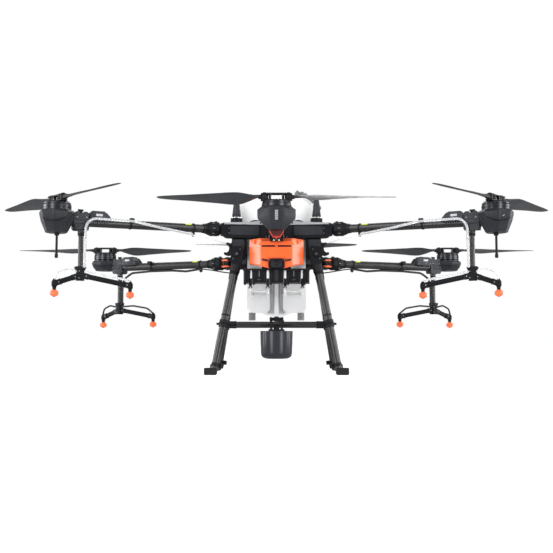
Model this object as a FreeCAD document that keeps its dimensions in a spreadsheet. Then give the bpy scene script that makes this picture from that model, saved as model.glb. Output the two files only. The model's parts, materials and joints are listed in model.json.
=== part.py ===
"""Six-rotor crop sprayer. Millimetres, +Z up, nose towards -Y, left side at +X.

The origin is on the ground, under the middle of the airframe.
"""
import FreeCAD, Part
import math
import os
import re

import Sketcher

Vector = FreeCAD.Vector
Rotation = FreeCAD.Rotation
Placement = FreeCAD.Placement

SIZES = {
    # where the arms are hinged and where the motors stand
    "pivot_x": 220, "pivot_y": 114.5, "side_motor_x": 835.5, "side_motor_y": 434,
    "center_pivot_y": 285, "center_motor_y": 687.5,
    "front_arm_z": 590, "rear_arm_z": 488, "center_arm_z": 549,
    # arm tubes, hinges and locking collars
    "tube_radius": 17.5, "tube_wall": 2, "tube_inset": 22, "knuckle_radius": 16,
    "knuckle_half": 17.7, "pin_radius": 5, "pin_gap": 0.06, "fork_gap": 0.3, "fork_plate": 6,
    "fork_length": 41,
    "collar_start": 22, "collar_length": 58, "collar_radius": 31.5,
    # rotors
    "rotor_rise": 86, "blade_pivot": 42, "blade_tip": 419, "boss_radius": 13.5, "boss_half": 8,
    "clamp_gap": 0.3, "clamp_plate": 4.2, "clamp_width": 28, "clamp_end": 55,
    "blade_pin": 4, "bell_radius": 52.5, "bell_top": 14, "bell_height": 33, "bell_wall": 3.3,
    "shaft_radius": 6, "stator_radius": 48.6,
    # motor pods
    "pod_floor": 36, "pod_bore": 54,
    # spray lances, measured from the motor axis and the arm axis
    "lance_back": 92, "lance_radius": 10, "hub_top": 180, "hub_height": 45, "boom_radius": 9,
    "boom_out": 97, "boom_in": 198, "boom_drop": 239, "nozzle_drop": 263, "cap_radius": 15,
    "cap_half": 12.5, "hose_radius": 5,
    # airframe
    "beam_half": 200, "beam_inner": 82, "beam_outer": 158, "front_beam_low": 558,
    "front_beam_high": 620, "rear_beam_low": 456, "rear_beam_high": 520,
    "side_inner": 130, "side_outer": 185, "side_low": 470, "side_high": 600,
    "shell_front": 262, "shell_back": 165, "shell_low": 425, "shell_high": 546,
    "tank_half_depth": 74, "tank_wall": 3.5,
    # landing gear
    "leg_radius": 16.5, "front_leg_top_x": 161.5, "rear_leg_top_x": 190, "leg_top_y": 180,
    "leg_top_z": 470, "front_leg_end_x": 248, "rear_leg_end_x": 266, "leg_end_y": 256,
    "foot_out": 13, "foot_width": 47, "foot_length": 60, "foot_height": 27.6,
    "leg_end_z": 10, "cross_z": 203, "cross_radius": 9,
    # terrain radar
    "radar_radius": 66, "radar_low": 62, "radar_high": 174, "radar_y": 215,
}

doc = FreeCAD.newDocument("crop_sprayer")
sizes = doc.addObject("Spreadsheet::Sheet", "sizes")
for row, (alias, value) in enumerate(SIZES.items(), 1):
    sizes.set(f"A{row}", alias)
    sizes.set(f"B{row}", str(value))
    sizes.setAlias(f"B{row}", alias)
doc.recompute()

NAMES = re.compile(r"\b([a-z]+(?:_[a-z]+)+)\b")
TURNS = {"x": Rotation(Vector(0, 1, 0), 90), "y": Rotation(Vector(1, 0, 0), -90), "z": Rotation()}
nodes = []


# ---- sizes and small builders --------------------------------------------------------------

def size(alias):
    """The value of one cell of the sheet."""
    return float(sizes.get(alias))


def bind(item, prop, value):
    """Bind a property to a number or to an expression over the sheet's names."""
    item.setExpression(prop, NAMES.sub(r"sizes.\1", str(value)))


def place(item, at, turn):
    item.Placement = Placement(Vector(), turn)
    for letter, value in zip("xyz", at):
        if value != 0:
            bind(item, f"Placement.Base.{letter}", value)
    return item


def block(low, span):
    """A box from its low corner and its three edge lengths."""
    item = doc.addObject("Part::Box", "block")
    for prop, value in zip(("Length", "Width", "Height"), span):
        bind(item, prop, value)
    return place(item, low, Rotation())


def rod(radius, length, at=(0, 0, 0), axis="z"):
    """A cylinder that starts at a point and runs along +X, +Y or +Z, or a given turn."""
    item = doc.addObject("Part::Cylinder", "rod")
    bind(item, "Radius", radius)
    bind(item, "Height", length)
    return place(item, at, TURNS.get(axis, axis) if isinstance(axis, str) else axis)


def cone(low_radius, high_radius, length, at):
    item = doc.addObject("Part::Cone", "cone")
    bind(item, "Radius1", low_radius)
    bind(item, "Radius2", high_radius)
    bind(item, "Height", length)
    return place(item, at, Rotation())


def strut(radius, start, end):
    """A round bar between two points."""
    run = end - start
    bar = rod(radius, run.Length, (0, 0, 0), Rotation(Vector(0, 0, 1), run))
    bar.Placement = Placement(start, Rotation(Vector(0, 0, 1), run))
    return bar


def fuse(*items):
    joined = doc.addObject("Part::MultiFuse", "joined")
    joined.Shapes = list(items)
    return joined


def cut(base, *tools):
    item = doc.addObject("Part::Cut", "cut")
    item.Base = base
    item.Tool = tools[0] if len(tools) == 1 else fuse(*tools)
    return item


def group(*items):
    """Separate solids that belong to one sub-part."""
    item = doc.addObject("Part::Compound", "group")
    item.Links = list(items)
    return item


def placed(item, origin, turn):
    item.Placement = Placement(origin, turn)
    return item


def node(label, item, origin=None, turn=None):
    """Name a finished sub-part and stand it in the airframe."""
    item.Label = label
    if origin is not None:
        item.Placement = Placement(origin, turn or Rotation())
    nodes.append(item)
    return item


def plane(body, role):
    return next(part for part in body.Origin.OriginFeatures if part.Role == role)


def outline(body, role, points, offset=0):
    """A closed polygon sketch on one of the body's own planes."""
    sketch = body.newObject("Sketcher::SketchObject", "outline")
    sketch.AttachmentSupport = (plane(body, role), [""])
    sketch.MapMode = "FlatFace"
    bind(sketch, "AttachmentOffset.Base.z", offset)
    count = len(points)
    starts = []
    for index, point in enumerate(points):
        loose = (math.cos(index), math.sin(index))
        starts.append([near if isinstance(value, str) else value for value, near in zip(point, loose)])
    for index, (x, y) in enumerate(starts):
        x_next, y_next = starts[(index + 1) % count]
        sketch.addGeometry(Part.LineSegment(Vector(x, y, 0), Vector(x_next, y_next, 0)))
    for index in range(count):
        sketch.addConstraint(Sketcher.Constraint("Coincident", index, 2, (index + 1) % count, 1))
    for index, point in enumerate(points):
        for kind, given, start in zip(("DistanceX", "DistanceY"), point, starts[index]):
            number = sketch.addConstraint(Sketcher.Constraint(kind, -1, 1, index, 1, start))
            if isinstance(given, str):
                sketch.setExpression(f"Constraints[{number}]", NAMES.sub(r"sizes.\1", given))
    return sketch


def pad(role, points, start, length):
    """A polygon on a plane, padded along the plane's normal from an offset."""
    body = doc.addObject("PartDesign::Body", "pad_body")
    sketch = outline(body, role, points, start)
    feature = body.newObject("PartDesign::Pad", "pad")
    feature.Profile = sketch
    bind(feature, "Length", length)
    body.Tip = feature
    return body


def loft(role, stations):
    """Straight-sided skin through polygon outlines: (offset, points) pairs."""
    body = doc.addObject("PartDesign::Body", "loft_body")
    sketches = [outline(body, role, points, offset) for offset, points in stations]
    feature = body.newObject("PartDesign::AdditiveLoft", "loft")
    feature.Profile = sketches[0]
    feature.Sections = sketches[1:]
    feature.Ruled = True
    body.Tip = feature
    return body


def spin(points):
    """A closed half profile (radius, height) turned once round Z."""
    body = doc.addObject("PartDesign::Body", "spin_body")
    sketch = outline(body, "XZ_Plane", points)
    feature = body.newObject("PartDesign::Revolution", "turned")
    feature.Profile = sketch
    feature.ReferenceAxis = (sketch, ["V_Axis"])
    feature.Angle = 360
    body.Tip = feature
    return body


def octagon(radius, shift=0, squash=1):
    """Eight corners, flats facing X and Y."""
    corners = []
    for step in range(8):
        angle = math.radians(22.5 + 45 * step)
        corners.append((shift + radius * math.cos(angle), squash * radius * math.sin(angle)))
    return corners


def inset(points, wall):
    """A polygon moved inwards by a wall thickness; the corners run anticlockwise."""
    inner = []
    count = len(points)
    for index, point in enumerate(points):
        before = Vector(*points[index - 1], 0)
        corner = Vector(*point, 0)
        after = Vector(*points[(index + 1) % count], 0)
        run_in = (corner - before).normalize()
        run_out = (after - corner).normalize()
        normal_in = Vector(-run_in.y, run_in.x, 0)
        normal_out = Vector(-run_out.y, run_out.x, 0)
        bisector = normal_in + normal_out
        moved = corner + bisector * (wall / (1 + normal_in.dot(normal_out)))
        inner.append((moved.x, moved.y))
    return inner


def hose(points, radius, bend):
    """A round hose along straight runs joined by tangent arcs."""
    corners = [Vector(*point) for point in points]
    edges = []
    start = corners[0]
    for before, corner, after in zip(corners, corners[1:], corners[2:]):
        run_in = (corner - before).normalize()
        run_out = (after - corner).normalize()
        half_turn = run_in.getAngle(run_out) / 2
        shorter = min((corner - before).Length, (after - corner).Length)
        arc_radius = min(bend, 0.45 * shorter / math.tan(half_turn))
        setback = arc_radius * math.tan(half_turn)
        arc_start = corner - run_in * setback
        arc_end = corner + run_out * setback
        inward = (run_out - run_in).normalize()
        middle = corner + inward * (arc_radius / math.cos(half_turn) - arc_radius)
        edges.append(Part.LineSegment(start, arc_start).toShape())
        edges.append(Part.Arc(arc_start, middle, arc_end).toShape())
        start = arc_end
    edges.append(Part.LineSegment(start, corners[-1]).toShape())
    path = Part.Wire(edges)
    profile = Part.Wire(Part.makeCircle(radius, corners[0], corners[1] - corners[0]))
    item = doc.addObject("Part::Feature", "hose")
    item.Shape = path.makePipeShell([profile], True, True)
    swept = math.pi * radius ** 2 * path.Length
    if abs(item.Shape.Volume / swept - 1) > 0.01:
        raise RuntimeError("a hose's volume is not its section times its length")
    return item


# ---- layout --------------------------------------------------------------------------------

CENTER_ARM_LENGTH = size("center_motor_y") - size("center_pivot_y")
SIDE_ARM_RUN = Vector(size("side_motor_x") - size("pivot_x"), size("side_motor_y") - size("pivot_y"), 0)
SIDE_ARM_LENGTH = SIDE_ARM_RUN.Length
SIDE_ARM_ANGLE = math.degrees(math.atan2(SIDE_ARM_RUN.y, SIDE_ARM_RUN.x))


class Arm:
    """One arm: where it is hinged, which way it points and how its rotor rests."""

    def __init__(self, name, pivot, angle, length, blade_angle, hand, front_side):
        self.name = name
        self.pivot = pivot
        self.turn = Rotation(Vector(0, 0, 1), angle)
        self.length = length
        self.blade_turn = Rotation(Vector(0, 0, 1), blade_angle)
        self.hand = hand
        self.front_side = front_side
        self.motor = pivot + self.turn.multVec(Vector(length, 0, 0))
        self.rotor = self.motor + Vector(0, 0, size("rotor_rise"))


def side_arm(name, along, across, height, blade_angle, hand):
    """A side arm; along is +1 at the left, across is -1 at the front."""
    pivot = Vector(along * size("pivot_x"), across * size("pivot_y"), size(height))
    angle = math.degrees(math.atan2(across * SIDE_ARM_RUN.y, along * SIDE_ARM_RUN.x))
    return Arm(name, pivot, angle, SIDE_ARM_LENGTH, blade_angle, hand, -along)


def center_arm(name, across, hand):
    pivot = Vector(0, across * size("center_pivot_y"), size("center_arm_z"))
    return Arm(name, pivot, 90 * across, CENTER_ARM_LENGTH, 0, hand, 0)


FRONT_ARMS = [side_arm("front_left", 1, -1, "front_arm_z", -135, -1),
              side_arm("front_right", -1, -1, "front_arm_z", -45, 1)]
REAR_ARMS = [side_arm("rear_left", 1, 1, "rear_arm_z", 0, 1),
             side_arm("rear_right", -1, 1, "rear_arm_z", 0, -1)]
NOSE_ARM = center_arm("nose", -1, 1)
TAIL_ARM = center_arm("tail", 1, -1)
SIDE_ARMS = FRONT_ARMS + REAR_ARMS
ALL_ARMS = SIDE_ARMS + [NOSE_ARM, TAIL_ARM]


# ---- rotors --------------------------------------------------------------------------------

# how far out along the blade, chord, thickness and pitch of each section
BLADE_SECTIONS = ((0.053, 26, 13, 0), (0.08, 32, 11.5, 4), (0.13, 52, 9.5, 16), (0.25, 82, 8.5, 22),
                  (0.45, 74, 7, 18), (0.69, 58, 5, 13), (0.9, 42, 3.6, 9.5), (1.0, 24, 2.6, 8))


def airfoil(body, fraction, chord, thickness, pitch, hand):
    """A lens-shaped section across the blade, its leading edge raised by the pitch."""
    sketch = body.newObject("Sketcher::SketchObject", "section")
    sketch.AttachmentSupport = (plane(body, "YZ_Plane"), [""])
    sketch.MapMode = "FlatFace"
    sketch.AttachmentOffset = Placement(Vector(), Rotation(Vector(0, 0, 1), pitch * hand))
    bind(sketch, "AttachmentOffset.Base.z", f"(blade_tip - blade_pivot) * {fraction}")
    leading = Vector(0.38 * chord * hand, 0, 0)
    trailing = Vector(-0.62 * chord * hand, 0, 0)
    middle = (leading + trailing) * 0.5
    upper = middle + Vector(0, 0.62 * thickness, 0)
    lower = middle - Vector(0, 0.38 * thickness, 0)
    sketch.addGeometry(Part.Arc(leading, upper, trailing))
    sketch.addGeometry(Part.Arc(trailing, lower, leading))
    return sketch


def blade(hand):
    """A folding blade, from the centre of its pivot out along +X."""
    body = doc.addObject("PartDesign::Body", "blade_body")
    sections = [airfoil(body, *section, hand) for section in BLADE_SECTIONS]
    skin = body.newObject("PartDesign::AdditiveLoft", "blade_skin")
    skin.Profile = sections[0]
    skin.Sections = sections[1:]
    body.Tip = skin
    boss = rod("boss_radius", "2 * boss_half", (0, 0, "-boss_half"))
    root = block((0, -9, -4), ("(blade_tip - blade_pivot) * 0.053", 18, 8))
    bore = rod("blade_pin + pin_gap", 40, (0, 0, -20))
    return fuse(body, cut(fuse(root, boss), bore))


def rotor_hub():
    """Motor bell with its shaft, and the two clamp plates that hold the blades."""
    bell = cut(rod("bell_radius", "bell_height", (0, 0, "-bell_top - bell_height")),
               rod("bell_radius - bell_wall", "bell_height - 4", (0, 0, "-bell_top - bell_height")))
    shaft = rod("shaft_radius", 32, (0, 0, "-bell_top - 34"))
    neck = rod(20, 6, (0, 0, "-bell_top - 1"))
    plates = []
    for low in ("-boss_half - clamp_gap - clamp_plate", "boss_half + clamp_gap"):
        plates.append(block(("-clamp_end", "-clamp_width / 2", low),
                            ("2 * clamp_end", "clamp_width", "clamp_plate")))
    webs = []
    pins = []
    for side in (-1, 1):
        webs.append(block((side * 24.5 - 2.5, "-clamp_width / 2", "-boss_half - clamp_gap - 1"),
                          (5, "clamp_width", "2 * (boss_half + clamp_gap + 1)")))
        pins.append(rod("blade_pin", "2 * (boss_half + clamp_gap + clamp_plate) + 3",
                        (f"{side} * blade_pivot", 0, "-boss_half - clamp_gap - clamp_plate")))
        pins.append(rod(7, 3.5, (f"{side} * blade_pivot", 0, "boss_half + clamp_gap + clamp_plate - 0.5")))
    return fuse(bell, shaft, neck, *plates, *webs, *pins)


def build_rotor(arm):
    node(f"rotor_hub_{arm.name}", rotor_hub(), arm.rotor, arm.blade_turn)
    for letter, half_turn in (("a", 0), ("b", 180)):
        turn = arm.blade_turn.multiply(Rotation(Vector(0, 0, 1), half_turn))
        root = arm.rotor + turn.multVec(Vector(size("blade_pivot"), 0, 0))
        node(f"blade_{arm.name}_{letter}", blade(arm.hand), root, turn)


# ---- arms ----------------------------------------------------------------------------------

def arm_tube(length, hinge_axis):
    """Carbon tube with a hinge knuckle at the origin, running out along +X."""
    tube = cut(rod("tube_radius", length - size("tube_inset"), (0, 0, 0), "x"),
               rod("tube_radius - tube_wall", length, (40, 0, 0), "x"))
    start = (0, 0, "-knuckle_half") if hinge_axis == "z" else (0, "-knuckle_half", 0)
    clear = (0, 0, "-knuckle_half - 5") if hinge_axis == "z" else (0, "-knuckle_half - 5", 0)
    knuckle = rod("knuckle_radius", "2 * knuckle_half", start, hinge_axis)
    mouth = block((-40, -40, -40), (40, 80, 80))
    return cut(fuse(cut(tube, mouth), knuckle),
               rod("pin_radius + pin_gap", "2 * knuckle_half + 10", clear, hinge_axis))


def collar():
    """Ribbed octagonal locking collar that slides on the arm tube."""
    start = size("collar_start")
    length = size("collar_length")
    radius = size("collar_radius")
    body = loft("YZ_Plane", ((start, octagon(radius - 5)), (start + 6, octagon(radius)),
                             (start + length - 14, octagon(radius)), (start + length, octagon(radius - 7))))
    return cut(body, rod("tube_radius + pin_gap", 200, (-20, 0, 0), "x"))


def pod(stations):
    """Faceted motor pod round the motor axis: a recess for the bell, a socket for the tube."""
    skin = loft("XY_Plane", stations)
    recess = rod("pod_bore", 60, (0, 0, "pod_floor"))
    socket = rod("tube_radius", "100 - tube_inset", (-100, 0, 0), "x")
    return cut(skin, recess, socket)


def stator():
    body = rod("stator_radius", "rotor_rise - bell_top - 5 - pod_floor", (0, 0, "pod_floor"))
    return cut(body, rod("shaft_radius + pin_gap", 80, (0, 0, 0)))


def controller_box():
    """Speed controller saddled on the tube, behind the lance clamp."""
    box = block((-206, -27, 12), (86, 54, 32))
    return cut(box, rod("tube_radius", 300, (-300, 0, 0), "x"))


FRONT_POD = ((-46, octagon(44, 2)), (-2, octagon(64)), (38, octagon(66)), (52, octagon(62)))
REAR_POD = ((-10, octagon(50)), (22, octagon(65)), (40, octagon(66)), (52, octagon(62)))
CENTER_POD = ((-29, octagon(20, 32, 0.7)), (17, octagon(67)), (41, octagon(69)), (53, octagon(62)))


def motor_mount(arm, stations, boxed, antenna):
    pieces = [pod(stations), stator()]
    if boxed:
        pieces.append(controller_box())
    if antenna:
        pieces.append(fuse(rod(4.5, 90, (0, 0, -136)), rod(6.5, 22, (0, 0, -142))))
    node(f"motor_mount_{arm.name}", group(*pieces), arm.motor, arm.turn)


def lance(arm):
    """Clamp block, drop tube, hub and the two drooping boom arms."""
    back = size("lance_back")
    tube = rod("tube_radius", 200, (-200, 0, 0), "x")
    clamp = cut(block((-118, -21, -28), (57, 42, 68)), tube)
    drop = rod("lance_radius", "hub_top - 26", ("-lance_back", 0, "-hub_top - 1"))
    hub = block(("-lance_back - 14", -14, "-hub_top - hub_height"), (28, 28, "hub_height"))
    middle = Vector(-back, 0, -207)
    pieces = [clamp, drop, hub]
    for reach in (size("boom_out"), -size("boom_in")):
        tip = Vector(reach - back, 0, -size("boom_drop"))
        pieces.append(strut("boom_radius", middle, tip))
        pieces.append(rod(11, 24, (tip.x, 0, tip.z - 12)))
    node(f"lance_{arm.name}", fuse(*pieces), arm.motor, arm.turn)


def nozzles(arm):
    """A nozzle body and its rounded cap under each end of the boom."""
    solids = []
    for reach in ("boom_out", "-boom_in"):
        solids.append(rod(7.5, "nozzle_drop - boom_drop - 12",
                          (f"{reach} - lance_back", 0, "-nozzle_drop")))
        cap = doc.addObject("Part::Sphere", "cap")
        bind(cap, "Radius", "cap_radius")
        bind(cap, "Angle1", "-asin(cap_half / cap_radius)")
        bind(cap, "Angle2", "asin(cap_half / cap_radius)")
        solids.append(place(cap, (f"{reach} - lance_back", 0, "-nozzle_drop - cap_half"), Rotation()))
    node(f"nozzles_{arm.name}", group(*solids), arm.motor, arm.turn)


def front_hose(arm):
    """Supply hose along the front of the arm, down the lance, and on to both nozzles."""
    side = arm.front_side
    reach = SIDE_ARM_LENGTH
    main = hose([(150 - reach, 19 * side, -20), (290 - reach, 30 * side, -4), (400 - reach, 34 * side, 14),
                 (-102, 34 * side, 14), (-102, 21 * side, -176)], size("hose_radius"), 43)
    inner = hose([(-111, 9 * side, -191), (-258, 9 * side, -214), (-290, 4 * side, -220.5)],
                 size("hose_radius") - 1, 30)
    outer = hose([(-77, 6 * side, -190), (-48, 6 * side, -181), (-8, 6 * side, -193),
                  (5, 4 * side, -225)], 2.5, 20)
    node(f"arm_hose_{arm.name}", group(main, inner, outer), arm.motor, arm.turn)


def rear_hose(arm):
    """Supply hose slung under the arm between clips, down the lance, and on to both nozzles."""
    side = arm.front_side
    reach = SIDE_ARM_LENGTH
    main = hose([(150 - reach, 0, -27), (220 - reach, 0, -34), (300 - reach, 0, -27), (420 - reach, 0, -25.5),
                 (530 - reach, 0, -30), (-112, 0, -60), (-108, 0, -110), (-108, 0, -176)],
                size("hose_radius"), 50)
    inner = hose([(-111, 9 * side, -190), (-180, 9 * side, -187), (-262, 9 * side, -200),
                  (-290, 4 * side, -222.5)], size("hose_radius") - 1, 40)
    outer = hose([(-73, 6 * side, -190), (-40, 6 * side, -183), (-4, 6 * side, -198),
                  (5, 4 * side, -224.5)], size("hose_radius") - 1, 25)
    node(f"arm_hose_{arm.name}", group(main, inner, outer), arm.motor, arm.turn)


def build_side_arm(arm, stations, antenna, hose_builder):
    node(f"arm_{arm.name}", arm_tube(arm.length, "z"), arm.pivot, arm.turn)
    node(f"arm_lock_{arm.name}", collar(), arm.pivot, arm.turn)
    motor_mount(arm, stations, True, antenna)
    lance(arm)
    nozzles(arm)
    hose_builder(arm)
    build_rotor(arm)


def build_center_arm(arm):
    node(f"arm_{arm.name}", arm_tube(arm.length, "y"), arm.pivot, arm.turn)
    motor_mount(arm, CENTER_POD, False, False)
    build_rotor(arm)


# ---- airframe ------------------------------------------------------------------------------

def fork(arm):
    """Two plates above and below the arm's knuckle, tied by a web, with the hinge pin."""
    pieces = []
    for low in ("knuckle_half + fork_gap", "-knuckle_half - fork_gap - fork_plate"):
        pieces.append(rod("knuckle_radius", "fork_plate", (0, 0, low)))
        pieces.append(block(("-fork_length", -15, low), ("fork_length", 30, "fork_plate")))
    pieces.append(block(("-fork_length", -15, "-knuckle_half - 2"), (12, 30, "2 * knuckle_half + 4")))
    pieces.append(rod("pin_radius", "2 * (knuckle_half + fork_gap + fork_plate)",
                      (0, 0, "-knuckle_half - fork_gap - fork_plate")))
    return placed(fuse(*pieces), arm.pivot, arm.turn)


def lugs(across, low, high):
    """Two ears that carry a centre arm's cross pin."""
    sign = across
    pieces = []
    reach = size("center_pivot_y") + 16
    near = size("beam_outer") - 8
    for side in (-1, 1):
        x_low = side * (size("knuckle_half") + size("fork_gap") + 4) - 4
        y_low = min(sign * near, sign * reach)
        pieces.append(block((x_low, y_low, "center_arm_z - 17"), (8, reach - near, 34)))
        foot_low = min(sign * near, sign * (near + 45))
        pieces.append(block((x_low, foot_low, low), (8, 45, high - low)))
    pin_start = ("-knuckle_half - fork_gap - 10", f"{sign} * center_pivot_y", "center_arm_z")
    pieces.append(rod("pin_radius", "2 * (knuckle_half + fork_gap + 10)", pin_start, "x"))
    return pieces


def front_beam():
    beam = pad("YZ_Plane", [("-beam_outer", "front_beam_low"), ("-beam_inner", "front_beam_low"),
                            ("-beam_inner", "front_beam_high"), ("-beam_outer + 14", "front_beam_high"),
                            ("-beam_outer", "front_beam_high - 16")], "-beam_half", "2 * beam_half")
    pieces = [fork(arm) for arm in FRONT_ARMS]
    node("front_beam", fuse(beam, *pieces, *lugs(-1, 534, 590)))


def rear_beam():
    beam = pad("YZ_Plane", [("beam_outer", "rear_beam_low"), ("beam_outer", "rear_beam_high"),
                            ("beam_inner", "rear_beam_high"), ("beam_inner", "rear_beam_low")],
               "-beam_half", "2 * beam_half")
    pieces = [fork(arm) for arm in REAR_ARMS]
    tray = block((-100, 84, 566), (200, 122, 5))
    posts = [block((side * 70 - 15, 100, 515), (30, 30, 52)) for side in (-1, 1)]
    node("rear_beam", fuse(beam, tray, *posts, *pieces, *lugs(1, 500, 566)))


def side_frames():
    points = [("-beam_outer", "side_low"), ("beam_inner - 0.5", "side_low"),
              ("beam_inner - 0.5", "rear_beam_high"), ("beam_outer", "rear_beam_high"),
              ("beam_outer", "side_high - 20"), ("beam_outer - 30", "side_high"),
              ("-beam_inner + 0.5", "side_high"), ("-beam_inner + 0.5", "front_beam_low"),
              ("-beam_outer", "front_beam_low")]
    solids = []
    for start in ("side_inner", "-side_outer"):
        solids.append(pad("YZ_Plane", points, start, "side_outer - side_inner"))
    node("side_frames", group(*solids))


def front_shell():
    """Thin faceted nose cover, open behind and below, notched for the nose arm and the camera."""
    front, back = size("shell_front"), size("shell_back")
    plan = [(-64, -front), (64, -front), (110, -front + 56), (110, -back), (-110, -back),
            (-110, -front + 56)]
    skin = pad("XY_Plane", plan, "shell_low", "shell_high - shell_low")
    room = [(-107, -back + 5), (-107, -front + 57.5), (-62.5, -front + 3), (62.5, -front + 3),
            (107, -front + 57.5), (107, -back + 5)]
    hollow = pad("XY_Plane", room, "shell_low - 5", "shell_high - shell_low + 2")
    arm_notch = block((-42, -300, 520), (84, 200, 40))
    camera_notch = block((-31, -300, 400), (62, 200, 61))
    slots = [block((low, -270, 512), (54, 20, 5)) for low in (-60, 6)]
    vents = [block((low, -270, 452), (24, 20, 9)) for low in (-59, 35)]
    corners = []
    for side in (-1, 1):
        corners.append(pad("XZ_Plane", [(side * 120, 415), (side * 120, 452), (side * 58, 415)], 100, 200))
    node("front_shell", cut(skin, hollow, arm_notch, camera_notch, *slots, *vents, *corners))


def fpv_camera():
    body = block((-29, -281, 424.8), (58, 45, 34.7))
    node("fpv_camera", fuse(body, rod(9, 6, (0, -285, 443), "y")))


def pump_bank():
    """Delivery pumps under the nose cover, with their outlets, and the tank's drain fittings."""
    plate = block((-134, -250, 418), (268, 92, 6.6))
    pieces = [plate]
    for middle, width in ((-120, 26), (-69.5, 56), (0, 56), (69.5, 56), (120, 26)):
        pieces.append(block((middle - width / 2, -246, 366), (width, 78, 53)))
    for outlet in (-105, -35, 35, 105):
        pieces.append(rod(5, 76, (outlet, -226, 346)))
        pieces.append(rod(7, 6, (outlet, -226, 346)))
    for side in (-1, 1):
        pieces.append(block((side * 46 - 14, -164, 418), (28, 6, 176)))
    drains = [rod(15, 29, (side * 105, 0, 227)) for side in (-1, 1)]
    tee = fuse(rod(8, 56, (-28, 0, 228), "x"), rod(11, 12, (0, 0, 228)))
    node("pump_bank", group(fuse(*pieces), *drains, tee))


TANK_OUTLINE = [(-125, 256), (-62, 256), (-28, 240), (28, 240), (62, 256), (125, 256), (125, 604),
                (158, 636), (158, 691), (77, 752), (-120, 752), (-158, 728), (-158, 636), (-125, 604)]
FILLER_SPOT = Vector(124, 0, 716)
FILLER_TURN = Rotation(Vector(0, 1, 0), 37)


def filler(radius, length, start):
    """A disc or bore square to the tank's sloping shoulder, measured from its surface."""
    at = FILLER_SPOT + FILLER_TURN.multVec(Vector(0, 0, start))
    return rod(radius, length, tuple(at), FILLER_TURN)


def hinge_piece(low, width, radius, height):
    """A round barrel across the filler's inner edge, on the lid's hinge line."""
    at = FILLER_SPOT + FILLER_TURN.multVec(Vector(-66, low, height))
    return rod(radius, width, tuple(at), FILLER_TURN.multiply(TURNS["y"]))


HINGE_HEIGHT = 32


def spray_tank():
    depth = size("tank_half_depth")
    outer = pad("XZ_Plane", TANK_OUTLINE, -depth, 2 * depth)
    wall = size("tank_wall")
    inner = pad("XZ_Plane", inset(TANK_OUTLINE, wall), wall - depth, 2 * (depth - wall))
    neck = filler(52, 34, -6)
    bore = filler(45, 60, -20)
    ears = []
    for low in (-15, 9):
        ears.append(hinge_piece(low, 6, 6, HINGE_HEIGHT))
        foot = block((-72, low, 20), (22, 6, 8))
        ears.append(placed(group(foot), FILLER_SPOT, FILLER_TURN))
    pin = hinge_piece(-15, 30, 3, HINGE_HEIGHT)
    node("spray_tank", cut(fuse(cut(outer, inner), neck, *ears, pin), bore))


def tank_lid():
    disc = filler(60, 12, 28.3)
    rim = filler(40, 10, 19)
    grip = placed(group(block((-36, -8, 39), (72, 16, 13))), FILLER_SPOT, FILLER_TURN)
    barrel = hinge_piece(-8.7, 17.4, 6, HINGE_HEIGHT)
    bridge = placed(group(block((-66, -8.7, 28.3), (14, 17.4, 9))), FILLER_SPOT, FILLER_TURN)
    pin_way = hinge_piece(-20, 40, "3 + pin_gap", HINGE_HEIGHT)
    node("tank_lid", cut(fuse(disc, rim, grip, barrel, bridge), pin_way))


def battery():
    case = block((-93, 88, 571.3), (186, 112, 128))
    grip = cut(block((-50, 134, 699), (100, 20, 26)), block((-38, 130, 699.3), (76, 30, 15)))
    node("battery", fuse(case, grip))


def rtk_antennas():
    solids = []
    for side in (-1, 1):
        at = side * 168
        base = rod(24.5, 20, (at, -120, "front_beam_high"))
        ring = rod(25.5, 4, (at, -120, "front_beam_high + 20"))
        mast = cone(20, 11, 84, (at, -120, "front_beam_high + 24"))
        solids.append(fuse(base, ring, mast))
    node("rtk_antennas", group(*solids))


def leg_spot(side, across, height):
    """The point of a leg's centre line at a height."""
    pair = "front" if across < 0 else "rear"
    top = Vector(side * size(f"{pair}_leg_top_x"), across * size("leg_top_y"), size("leg_top_z"))
    end = Vector(side * size(f"{pair}_leg_end_x"), across * size("leg_end_y"), size("leg_end_z"))
    return top + (end - top) * ((top.z - height) / (top.z - end.z))


def leg(side, across):
    return strut("leg_radius", leg_spot(side, across, size("leg_top_z")),
                 leg_spot(side, across, size("leg_end_z")))


CORNERS = [(side, across) for across in (-1, 1) for side in (-1, 1)]


def landing_legs():
    """The four legs, each in a bracket bolted to the end of a side frame."""
    solids = []
    for side, across in CORNERS:
        middle = leg_spot(side, across, size("leg_top_z")).x
        y_low = min(across * 158.3, across * 205)
        bracket = block((middle - 23, y_low, 446), (46, 46.7, 74))
        solids.append(fuse(leg(side, across), bracket))
    node("landing_legs", group(*solids))


def leg_feet():
    solids = []
    for side, across in CORNERS:
        end = leg_spot(side, across, size("leg_end_z"))
        shoe = block((f"{end.x} + {side} * foot_out - foot_width / 2", f"{end.y} - foot_length / 2", 0),
                     ("foot_width", "foot_length", "foot_height"))
        solids.append(cut(shoe, leg(side, across)))
    node("leg_feet", group(*solids))


def cross_tubes():
    solids = []
    height = size("cross_z")
    for across in (-1, 1):
        pieces = [strut("cross_radius", leg_spot(-1, across, height), leg_spot(1, across, height))]
        for side in (-1, 1):
            pieces.append(strut(20, leg_spot(side, across, height + 15), leg_spot(side, across, height - 15)))
            spot = leg_spot(side, across, height)
            inward = Vector(-side * 48, 0, 0)
            pieces.append(strut(12.5, spot, spot + inward))
        solids.append(cut(fuse(*pieces), leg(-1, across), leg(1, across)))
    node("cross_tubes", group(*solids))


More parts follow.
